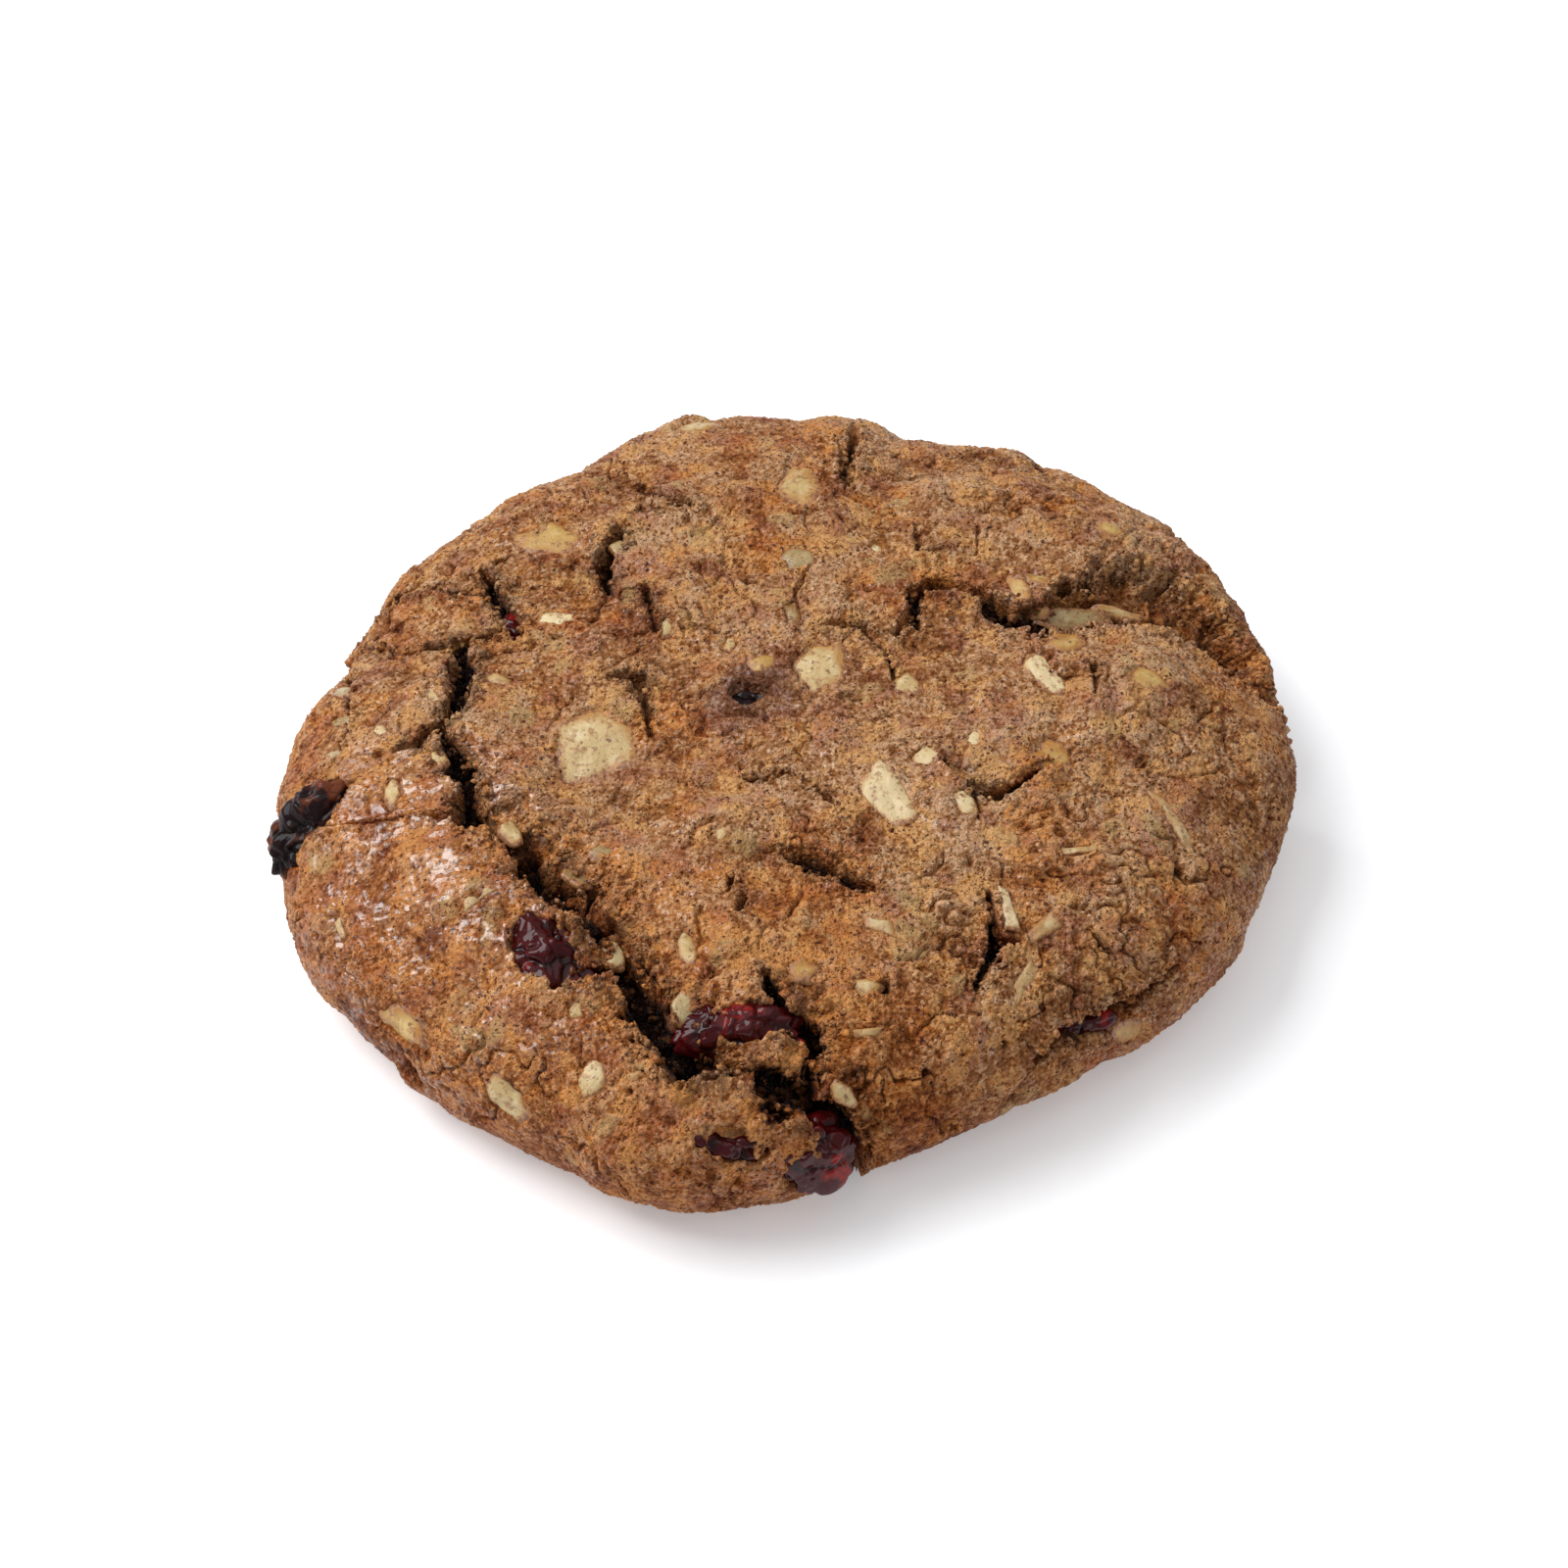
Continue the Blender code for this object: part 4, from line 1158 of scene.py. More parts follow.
@dataclass(frozen=True)
class CrustFinish:
    """Baked crust: sandy brown, with golden and plum patches, spice specks and moist torn edges.
    Shade is painted into its colour: in cracks, holes, pits and hairlines, and between its grains.

    Args:
        name: Name of the material.
        tones: Colours from the darkest, 0, to the lightest, 1, each with its place between.
        golden: What the tone is multiplied by in toasted patches.
        plum: What the tone is multiplied by in darker patches.
        rust: What the tone is multiplied by in large, well baked patches, and more towards the front edge,
            partly as painted shade.
        smudge: What the tone is multiplied by where fruit has stained the crust.
        grain_shade: Painted shade: what the tone is multiplied by between the finest grains.
        speck: Colour of the spice specks.
        deep: Painted shade: the near black put at the bottom of cracks and holes.
        veil: Colour of flakes just under the crust.
        moist: Colour of moist dough at torn edges.
    """

    name: str = "baked_crust"
    tones: tuple[tuple[float, Colour], ...] = (
        (0.0, (0.055, 0.010, 0.0015)),
        (0.22, (0.145, 0.042, 0.011)),
        (0.45, (0.25, 0.092, 0.026)),
        (0.65, (0.35, 0.150, 0.056)),
        (0.85, (0.47, 0.236, 0.107)),
        (1.0, (0.61, 0.362, 0.20)),
    )
    golden: Colour = (1.05, 0.93, 0.66)
    plum: Colour = (0.80, 0.66, 0.70)
    rust: Colour = (0.97, 0.78, 0.58)
    smudge: Colour = (0.78, 0.96, 1.45)
    grain_shade: Colour = (0.40, 0.38, 0.38)
    speck: Colour = (0.072, 0.016, 0.008)
    # Near black painted shade for the bottom of cracks and holes.
    deep: Colour = (0.006, 0.001, 0.0003)
    veil: Colour = (0.48, 0.32, 0.135)
    moist: Colour = (0.125, 0.066, 0.032)

    def build(self, groups: Groups) -> bpy.types.Material:
        """Makes the material. It reads the mesh's painted shade of hollows, edge, grain, stain and veil."""
        material, board, shader = new_material(self.name)
        where = object_place(board)
        recess_shade, edge, fine, stain, veil = (board.attribute(name) for name in VALUE_NAMES)
        grain = board.add("ShaderNodeGroup", {"Vector": where, "Scale": 2300.0}, node_tree=groups.grain)
        parts = (
            (board.noise(where, 110.0, 3.0, 0.6), 0.9),
            (board.noise(where, 420.0, 3.0, 0.6), 1.3),
            (board.noise(where, 1200.0, 2.0, 0.6), 1.4),
            (board.noise(where, 2900.0, 2.0, 0.6), 1.3),
        )
        tone = 0.88 - 0.5 * sum(weight for _, weight in parts)
        for pattern, weight in parts:
            tone = board.plus(board.times(pattern, weight), tone)
        # Lighter on raised tops and darker in dips: partly toasting, partly painted light and shade of the
        # relief.
        tone = board.plus(tone, board.times(fine, 0.32))
        tone = board.plus(tone, board.times(edge, 0.08))
        tone = board.math("SUBTRACT", tone, board.times(stain, 0.22))
        # Painted shade: a darker tone in cracks, holes, pits and hairlines.
        tone = board.math("SUBTRACT", tone, board.times(board.ramp(recess_shade, 0.05, 0.5), 0.3))
        colour = board.colours(tone, self.tones)
        golden = board.ramp(board.noise(where, 420.0, 2.0, 0.5), 0.46, 0.60)
        colour = board.mix(golden, colour, self.golden, "MULTIPLY")
        plum = board.ramp(board.noise(where, 300.0, 3.0, 0.55), 0.50, 0.64)
        plum = board.plus(plum, board.times(stain, 0.35), clamp=True)
        colour = board.mix(plum, colour, self.plum, "MULTIPLY")
        rust = board.ramp(board.noise(where, 85.0, 4.0, 0.7), 0.48, 0.62)
        axes = board.add("ShaderNodeSeparateXYZ", {0: where}).outputs
        # Towards the front edge the tone gets redder and darker: partly a browner baked edge, partly
        # painted shade on the side away from the key light.
        towards = board.plus(board.times(axes["X"], 0.6), axes["Y"])
        front = board.times(board.ramp(towards, -0.018, -0.034), 0.8)
        rust = board.plus(rust, front, clamp=True)
        colour = board.mix(rust, colour, self.rust, "MULTIPLY")
        colour = board.mix(board.ramp(stain, 0.6, 1.8), colour, self.smudge, "MULTIPLY")
        # Painted shade between the finest grains: a grey darkening by fine noise.
        grain_shade = board.ramp(board.noise(where, 3100.0, 2.0, 0.6), 0.60, 0.40)
        colour = board.mix(board.times(grain_shade, 0.45), colour, self.grain_shade, "MULTIPLY")
        thin = board.times(veil, board.ramp(board.noise(where, 700.0, 3.0, 0.6), 0.32, 0.62))
        colour = board.mix(board.times(thin, 0.55), colour, self.veil)
        moist = board.ramp(board.noise(where, 620.0, 3.0, 0.6), 0.45, 0.6)
        left = board.times(board.ramp(axes["X"], 0.012, -0.004), 0.6)
        moist = board.times(moist, left)
        moist = board.times(moist, board.ramp(edge, 0.25, 0.8))
        colour = board.mix(moist, colour, self.moist)
        dense = board.times(board.ramp(board.noise(where, 450.0, 2.0), 0.4, 0.6), 0.55)
        for scale, size, amount in ((950.0, 0.20, 0.55), (1500.0, 0.23, 0.4), (2300.0, 0.28, 0.35)):
            amount = board.plus(dense, amount)
            inputs = {"Vector": where, "Scale": scale, "Size": size, "Amount": amount}
            spot = board.add("ShaderNodeGroup", inputs, node_tree=groups.specks)
            colour = board.mix(board.times(spot.outputs["Mask"], 0.85), colour, self.speck)
        # Painted shade: near black deep in cracks and holes.
        colour = board.mix(board.ramp(recess_shade, 0.4, 0.95), colour, self.deep)
        open_air = board.times(board.ramp(recess_shade, 0.3, 0.0), board.ramp(fine, -0.45, 0.15))
        glaze = board.times(self.glaze_mask(board, where), open_air)
        rough = board.math("SUBTRACT", 0.6, board.times(board.ramp(recess_shade, 0.05, 0.5), 0.2))
        board.tree.links.new(rough, shader.inputs["Roughness"])
        board.tree.links.new(glaze, shader.inputs["Coat Weight"])
        values = {
            "Coat Roughness": 0.12,
            "Coat IOR": 1.8,
            "Specular IOR Level": 0.06,
            "Sheen Weight": 0.08,
            "Sheen Roughness": 0.2,
            "Sheen Tint": (0.8, 0.88, 1.0, 1.0),
        }
        dress(board, shader, colour, (grain.outputs["Height"], 0.9, 0.00036), values)
        return material

    def glaze_mask(self, board: NodeBoard, where: Socket) -> Socket:
        """Where the crust is glossy: a soft oval on the front-left lobe, and glints all over."""
        middle, half_sizes = GLOSSY_LOBE
        shift, scale = tuple(-value for value in middle), tuple(1 / value for value in half_sizes)
        moved = board.add("ShaderNodeVectorMath", {0: where, 1: shift}, operation="ADD").outputs[0]
        scaled = board.add("ShaderNodeVectorMath", {0: moved, 1: scale}, operation="MULTIPLY").outputs[0]
        away = board.add("ShaderNodeVectorMath", {0: scaled}, operation="LENGTH").outputs["Value"]
        patches = board.ramp(board.noise(where, 330.0, 4.0, 0.65), 0.42, 0.56)
        fine = board.ramp(board.noise(where, 1300.0, 3.0, 0.6), 0.40, 0.56)
        lobe = board.times(board.ramp(away, 1.15, 0.5), board.times(patches, fine))
        patchy = board.ramp(board.noise(where, 170.0, 3.0), 0.38, 0.68)
        glints = board.ramp(board.noise(where, 2400.0, 2.0, 0.6), 0.50, 0.60)
        glints = board.times(board.times(patchy, glints), 0.55)
        return board.math("MAXIMUM", lobe, glints)


@dataclass(frozen=True)
class FlakeFinish:
    """An oat flake or nut chip: creamy, faintly streaked, toasted towards its rim.

    Args:
        name: Name of the material.
        body: Usual colour.
        streak: Colour of the faint streaks.
        toast: Colour of the toasted rim.
        film: Colour of the dough that clings to it.
        shade: Colour between the grains of that dough.
        roughness: How dull it is.
    """

    name: str
    body: Colour
    streak: Colour
    toast: Colour
    film: Colour = (0.43, 0.205, 0.088)
    shade: Colour = (0.21, 0.078, 0.024)
    roughness: float = 0.42

    def build(self, groups: Groups) -> bpy.types.Material:
        """Makes the material. The mesh's "rim" value is 0 in the middle and 1 at the outline."""
        material, board, shader = new_material(self.name)
        where = object_place(board)
        rim, tone = board.attribute("rim"), board.attribute("tone")
        streaks = board.ramp(board.noise(where, 520.0, 4.0, 0.65), 0.42, 0.68)
        paleness = board.ramp(tone, 0.1, -0.9)
        paler = board.math("MAXIMUM", board.times(streaks, 0.8), paleness)
        colour = board.mix(paler, self.body, self.streak)
        spread = board.plus(rim, board.times(board.noise(where, 350.0, 3.0), 1.6))
        spread = board.plus(spread, board.times(tone, 0.4))
        colour = board.mix(board.times(board.ramp(spread, 1.05, 1.6), 0.85), colour, self.toast)
        grains = board.ramp(board.noise(where, 2600.0, 2.0, 0.6), 0.40, 0.60)
        clinging = board.mix(grains, self.shade, self.film)
        film = board.plus(rim, board.times(board.noise(where, 900.0, 4.0, 0.7), 1.3))
        film = board.plus(film, board.times(tone, 0.15))
        colour = board.mix(board.times(board.ramp(film, 1.26, 1.38), 0.95), colour, clinging)
        dusted = board.ramp(board.noise(where, 1500.0, 3.0, 0.65), 0.52, 0.62)
        colour = board.mix(board.times(dusted, 0.7), colour, clinging)
        for scale, size, amount in ((900.0, 0.2, 0.3), (2000.0, 0.22, 0.3)):
            inputs = {"Vector": where, "Scale": scale, "Size": size, "Amount": amount}
            spot = board.add("ShaderNodeGroup", inputs, node_tree=groups.specks)
            colour = board.mix(board.times(spot.outputs["Mask"], 0.75), colour, (0.16, 0.05, 0.03))
        values = {
            "Roughness": self.roughness,
            "Subsurface Weight": 0.2,
            "Subsurface Scale": 0.0008,
            "Subsurface Radius": (1.0, 0.7, 0.4),
        }
        dress(board, shader, colour, (board.noise(where, 1300.0, 4.0, 0.65), 0.6, 0.0003), values)
        return material


@dataclass(frozen=True)
class FruitFinish:
    """Dried fruit: dark, wrinkled and sticky, with lighter flesh showing through in patches.

    Args:
        name: Name of the material.
        skin: Usual colour of the skin.
        fold: Painted shade: colour in the creases of the skin.
        flesh: Colour of thin, lit places.
        amount: Share of the surface that is flesh, from 0 to 1.
        coat: How sticky and glossy it is, from 0 to 1.
    """

    name: str
    skin: Colour
    fold: Colour
    flesh: Colour
    amount: float = 0.4
    coat: float = 0.3

    def build(self) -> bpy.types.Material:
        """Makes the material. The mesh's "fold" value is 1 in the folds of the skin."""
        material, board, shader = new_material(self.name)
        where = object_place(board)
        fold = board.attribute("fold")
        low, high = 0.72 - 0.4 * self.amount, 0.82 - 0.3 * self.amount
        patch = board.ramp(board.noise(where, 330.0, 3.0, 0.6), low, high)
        colour = board.mix(patch, self.skin, self.flesh)
        # Painted shade in the creases of the skin.
        colour = board.mix(board.times(fold, 0.85), colour, self.fold)
        values = {
            "Roughness": 0.5,
            "Subsurface Weight": 0.15,
            "Subsurface Scale": 0.0012,
            "Subsurface Radius": (1.0, 0.15, 0.1),
            "Coat Weight": self.coat,
            "Coat Roughness": 0.05,
            "Specular IOR Level": 0.03,
        }
        dress(board, shader, colour, (board.noise(where, 1100.0, 4.0, 0.65), 0.8, 0.0005), values)
        return material


# ---- Dough ----


class Quarter(Enum):
    """A quarter of the dough, and how many right angles it is turned from the first."""

    BACK_RIGHT = 0
    BACK_LEFT = 1
    FRONT_LEFT = 2
    FRONT_RIGHT = 3

    def label(self) -> str:
        """Name of its piece."""
        return "crust_" + self.name.lower()


@dataclass
class Dough:
    """The dough, in four closed quarters that meet without a seam.

    Each quarter is a square grid wrapped over a quarter of the sheet. It goes on for a few cells
    past its edges, where it sinks under its neighbour.

    Args:
        form: The cookie's form.
        cells: Cells along a side of a quarter.
        margin: Cells that go on under the neighbour.
        margin_depth: How deep the last of them lies, in mm.
        upper_share: Share of the cells that lie above the widest line.
        pull: How strongly points are drawn to the cracks, from 0 to 1.
        reach: How far from a crack points are drawn, in mm.
        foot_height: Height of the hidden flat face that closes a quarter, in mm.
        foot_share: How far out that face reaches.
        clearance: Height of its lowest points, in mm.
    """

    form: CookieForm
    cells: int = 300
    margin: int = 2
    margin_depth: float = 0.5
    upper_share: float = 0.9
    pull: float = 0.5
    reach: float = 2.0
    foot_height: float = 2.0
    foot_share: float = 0.93
    clearance: float = 0.03

    def sheet(self, quarter: Quarter) -> tuple[Array, Array]:
        """Places of a quarter's points on the sheet, and how many cells each is past its edge.

        A square grid is wrapped to a quarter of a disc. Then each point moves towards the nearest
        crack by pull times its distance, fading as a bell.
        """
        side = np.arange(-self.margin, self.cells + 1) / self.cells
        u, v, longer, angle = wrapped_square(side)
        ring = np.abs(longer)
        lengths = [0, self.form.widest_length + 1.0, self.form.sheet_radius]
        length = np.interp(ring, [0, self.upper_share, 1], lengths) * np.sign(longer)
        angle = angle + quarter.value * math.pi / 2
        sheet = np.stack([length * np.cos(angle), length * np.sin(angle)], axis=1)
        distance, offset = self.form.near_crack(sheet)
        fade = self.pull * np.exp(-((distance / self.reach) ** 2)) * (1 - ring**16)
        past = np.maximum(-np.minimum(u, v), 0) * self.cells
        return sheet - offset * fade[:, None], past

    def quarter(self, quarter: Quarter) -> Shape:
        """The shape of a quarter: its crust, a hidden wall down from its edge, and a flat foot."""
        sheet, past = self.sheet(quarter)
        points, values = self.form.crust(sheet)
        place = self.form.place(sheet)
        points -= place.outward * (self.margin_depth * (past / self.margin) ** 2)[:, None]
        count = self.cells + self.margin + 1
        index = np.arange(count * count).reshape(count, count)
        outer = np.concatenate([index[-1], index[:, -1]])
        points[:, 2] = np.maximum(points[:, 2], self.clearance)
        points[outer, 2] = self.clearance
        foot = place.point[border(count)] * (self.foot_share, self.foot_share, 0)
        return closed_sheet(points, foot + (0, 0, self.foot_height), values, below=True)

    def build(self, material: bpy.types.Material) -> None:
        """Makes the four quarters."""
        for quarter in Quarter:
            piece = self.quarter(quarter).to_object(quarter.label(), material)
            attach(piece, BODY)
            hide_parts("cookie")


@dataclass
class Base:
    """The browned underside: a flat slab that touches the plate at its high spots, with air pits.

    Args:
        form: The cookie's form.
        stain: How much browner than the top it is.
        cells: Cells along a side of its square grid.
        inset: How far its edge lies inside the dough's wall, in mm.
        pit: Depth of the pits in mm.
        edge: Width of its rounded edge, as a share of the radius.
        rounding: How high its edge curves up, in mm.
        top_share: How far out the hidden face above it reaches.
        top_height: Height of that face, in mm.
    """

    form: CookieForm
    stain: float = 0.9
    cells: int = 220
    inset: float = 0.12
    pit: float = 0.7
    edge: float = 0.03
    rounding: float = 0.8
    top_share: float = 0.97
    top_height: float = 1.6

    def shape(self) -> Shape:
        """The slab: a disc of points under the dough's wall, with a hidden face above.

        Height is pit times a stepped noise, plus a rounding 1 - sqrt(1 - t^2) over the edge.
        """
        side = np.linspace(-1, 1, self.cells + 1)
        _, _, longer, angle = wrapped_square(side)
        angle = angle + np.where(longer < 0, math.pi, 0.0)
        ring = np.abs(longer)
        rim = self.form.sheet_radius * np.stack([np.cos(angle), np.sin(angle)], axis=1)
        outline = self.form.bare_surface(rim)
        radius = (np.hypot(outline[:, 0], outline[:, 1]) - self.inset) * ring
        points = np.stack([radius * np.cos(angle), radius * np.sin(angle), np.zeros(len(ring))], axis=1)
        wave = noise(points, 2.6, 70) + 0.6 * noise(points, 1.2, 71)
        pits = smooth_step(0.25, 0.75, wave) * smooth_step(-0.4, 0.3, noise(points, 8.0, 72))
        grain = sum(size * np.abs(noise(points, cell, seed)) for cell, size, seed in GRAINS)
        folds = np.exp(-((noise(points, 11.0, 73) / 0.05) ** 2))
        folds = folds * smooth_step(0.0, 0.4, noise(points, 9.0, 74))
        bend = np.clip((ring - 1 + self.edge) / self.edge, 0, 1)
        curve = self.rounding * (1 - np.sqrt(1 - bend**2))
        points[:, 2] = self.pit * pits + 0.35 * grain + 0.3 * folds + curve
        top = points[border(self.cells + 1)] * (self.top_share, self.top_share, 0)
        values = {
            # Painted shade in the pits and folds of the underside.
            "recess_shade": np.clip(0.35 * pits + 0.2 * folds, 0, 1),
            "edge": np.zeros(len(pits)),
            "grain": np.clip(grain / 0.25 - 0.5, -1, 1),
            "stain": np.full(len(pits), self.stain),
            "veil": np.zeros(len(pits)),
        }
        return closed_sheet(points, top + (0, 0, self.top_height), values, below=False)

    def build(self, material: bpy.types.Material) -> None:
        """Makes the underside."""
        piece = self.shape().to_object("base_crust", material)
        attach(piece, BODY)
        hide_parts("cookie")


# ---- Flakes, chips and slivers ----


class FlakeKind(Enum):
    """What a flake is."""

    OAT = "oat_flakes"
    NUT = "nut_chips"
    SLIVER = "bran_slivers"
    GLASSY = "moist_chips"


@dataclass(frozen=True)
class Flake:
    """One flake set in the crust.

    Args:
        kind: What it is.
        x: Place on the sheet in mm.
        y: Place on the sheet in mm.
        length: Whole length in mm.
        width: Whole width in mm.
        turn: Turn in the sheet, in degrees.
        rise: How far its middle stands above the crust, in mm.
        tilt: How much its left side is lifted, in degrees.
        thickness: In mm.
        tone: -1 for a pale one to 1 for a well toasted one.
    """

    kind: FlakeKind
    x: float
    y: float
    length: float
    width: float
    turn: float
    rise: float = 0.0
    tilt: float = 0.0
    thickness: float = 0.7
    tone: float = 0.0

    def bed(self, seed: int) -> Bed:
        """Where the crust is sunk to show this flake."""
        depth = max(0.42 - max(self.rise, 0.0), 0.1)
        sides = 4 if self.kind is FlakeKind.SLIVER else 5 + seed % 3
        return Bed(self.x, self.y, self.length / 2, self.width / 2, self.turn, depth, seed, sides, 0.6)

    def spread(self) -> float:
        """How much larger the flake is than its bed: the crust laps over one that lies flush."""
        return 1.0 if self.rise > 0.12 or self.kind is FlakeKind.SLIVER else 1.12


OAT, NUT, SLIVER, GLASSY = FlakeKind

FLAKES = (
    Flake(OAT, -15.5, -4.7, 7.5, 6.7, -8, tone=-0.2),
    Flake(OAT, 9.6, -12.0, 8.2, 4.1, -63, rise=0.15, tone=-0.6),
    Flake(OAT, 3.2, 3.8, 6.8, 4.4, 85, tone=-0.2),
    Flake(NUT, -22.5, 22.3, 7.1, 4.8, -19, rise=-0.1, tone=-0.1),
    Flake(OAT, 1.6, 28.3, 7.6, 4.1, 88, rise=0.1, tone=0.6),
    Flake(GLASSY, 1.5, 17.4, 3.4, 3.0, 24),
    Flake(NUT, 22.8, -6.3, 3.9, 3.3, 80, tone=0.5),
    Flake(OAT, -20.9, 10.9, 4.2, 2.0, -4, rise=0.2, tone=-0.8),
    Flake(OAT, 21.9, 2.6, 5.4, 2.6, -69, rise=0.1, tone=-0.7),
    Flake(NUT, 23.8, 6.1, 3.4, 2.6, 15, rise=0.2, tone=0.2),
    Flake(NUT, 30.1, 1.8, 3.1, 2.8, 3, tone=0.5),
    Flake(NUT, 19.4, 12.6, 4.4, 2.2, -70, rise=0.15, tilt=18, thickness=1.0, tone=0.8),
    Flake(NUT, 21.4, 13.8, 2.4, 1.6, -20, tilt=-12, thickness=0.8, tone=0.9),
    Flake(OAT, 16.4, -5.1, 2.5, 1.3, -85, tone=-0.9),
    Flake(OAT, 12.6, -7.0, 2.5, 2.3, -65, tone=-0.5),
    Flake(OAT, 16.2, -12.7, 3.5, 1.6, -71, tone=-0.6),
    Flake(SLIVER, 33.6, -12.1, 6.6, 1.3, -54, rise=0.15, tone=0.2),
    Flake(SLIVER, 26.1, -16.8, 5.0, 0.9, 14, rise=0.1, tone=0.3),
    Flake(SLIVER, 20.2, -24.4, 4.7, 1.1, -76, rise=0.5, tone=-0.6),
    Flake(SLIVER, 23.5, -26.0, 3.8, 1.5, 49, rise=0.2, tone=0.3),
    Flake(SLIVER, 21.9, -31.8, 4.8, 1.5, 62, rise=0.3),
    Flake(SLIVER, 8.6, -26.6, 3.1, 1.4, -18, rise=0.15, tone=-0.2),
    Flake(OAT, 10.5, 1.9, 2.8, 2.3, -57),
    Flake(SLIVER, -24.5, -22.2, 3.0, 1.2, 42, rise=0.25),
    Flake(SLIVER, -36.6, -21.2, 2.1, 1.0, -80, rise=0.15),
    Flake(OAT, -23.4, -38.7, 5.2, 3.2, -53, rise=0.1, tone=-0.1),
    Flake(OAT, -15.0, -37.7, 3.4, 2.4, 57, rise=0.15, tone=-0.4),
    Flake(OAT, -16.6, -32.6, 1.6, 1.3, 72),
    Flake(NUT, -32.6, -30.7, 5.9, 3.1, -36, tone=0.6),
    Flake(GLASSY, -13.2, -26.6, 2.5, 1.8, -60, rise=-1.7, tilt=8, thickness=0.9, tone=-1.0),
    Flake(GLASSY, -16.4, -18.6, 2.8, 2.0, -60, rise=-0.9, tilt=-14, thickness=0.8, tone=0.2),
    Flake(GLASSY, -14.6, -16.8, 2.2, 1.7, 20, rise=-0.2, tone=0.1),
    Flake(OAT, -7.4, -26.0, 3.8, 1.6, -79, rise=0.1, tone=0.2),
    Flake(NUT, 1.8, -30.1, 2.9, 2.0, -34, tone=0.8),
    Flake(OAT, 7.2, -32.6, 2.5, 1.6, -23, tone=0.2),
    Flake(OAT, 5.3, -41.2, 3.3, 1.4, -43, rise=0.2),
    Flake(SLIVER, 7.3, -36.6, 2.6, 0.8, -3, rise=0.15),
    Flake(OAT, -21.9, -15.5, 2.9, 2.0, -64, rise=0.2, tone=0.2),
    Flake(OAT, -32.1, -9.6, 3.5, 1.3, -83, tone=0.4),
    Flake(OAT, -34.3, -2.6, 1.6, 1.1, -47, tone=-0.3),
    Flake(OAT, -30.4, 1.2, 2.8, 1.4, -54, rise=-0.4, tone=-0.2),
    Flake(OAT, -25.0, 3.1, 2.8, 1.7, -25, tone=0.2),
    Flake(OAT, -28.6, -6.4, 1.9, 1.3, -45, tone=0.1),
    Flake(OAT, -4.8, -15.2, 1.2, 1.1, -90),
    Flake(NUT, -1.8, 4.1, 3.0, 2.0, 11, rise=0.3, tone=0.2),
    Flake(OAT, -4.8, 6.9, 2.2, 1.0, 87, tone=0.1),
    Flake(GLASSY, 1.0, 10.1, 3.0, 1.4, -82, tone=0.4),
    Flake(NUT, 6.6, 20.9, 1.7, 0.9, -18, rise=0.3, tone=0.3),
    Flake(OAT, 8.6, 19.7, 1.4, 0.9, -81, tone=-1.0),
    Flake(NUT, 27.7, 20.4, 2.6, 2.1, -43, rise=0.1, tone=0.3),
    Flake(OAT, -10.7, 9.1, 2.4, 1.4, -90, tone=-0.2),
    Flake(GLASSY, -15.5, 20.3, 2.2, 1.5, -81, rise=-0.6, tone=-0.5),
    Flake(GLASSY, -14.5, 21.9, 2.3, 1.2, -85, rise=-0.3, tone=-0.8),
    Flake(GLASSY, -39.6, 4.5, 3.8, 1.2, -41, rise=0.1),
    Flake(GLASSY, -38.8, 0.6, 3.5, 1.2, -25, rise=0.1),
    Flake(GLASSY, -38.4, -3.8, 2.2, 1.0, -34, rise=0.1, tone=0.1),
    Flake(NUT, 35.6, -33.6, 6.0, 2.6, 9, rise=-0.2, tone=0.5),
    Flake(GLASSY, 24.6, 11.4, 6.4, 1.7, 12, rise=-2.7, tilt=26, thickness=0.4, tone=0.1),
    Flake(OAT, 28.6, 12.6, 4.2, 0.9, -4, rise=-2.7, tilt=34, thickness=0.3, tone=0.5),
    Flake(GLASSY, 31.8, 11.4, 4.6, 1.4, 12, rise=-3.3, tilt=30, thickness=0.4, tone=0.3),
    Flake(NUT, 21.2, 11.4, 2.2, 1.1, -34, rise=-1.7, tilt=35, thickness=0.4, tone=0.9),
    Flake(GLASSY, -7.6, -31.4, 2.6, 1.8, 70, rise=-0.6, tilt=14, thickness=1.2, tone=-1.0),
    Flake(OAT, -8.0, 38.0, 4.4, 3.0, 20, tone=0.1),
    Flake(OAT, 24.0, 43.0, 4.8, 2.4, -35, tone=0.2),
    Flake(OAT, -30.0, 38.5, 3.6, 3.2, 50, tone=0.3),
    Flake(OAT, 49.0, -5.0, 4.2, 2.2, 80, tone=0.3),
    Flake(NUT, 2.0, 52.0, 5.0, 2.8, 5, tone=0.4),
    Flake(OAT, -48.0, 22.0, 3.4, 2.8, -60, tone=0.3),
)


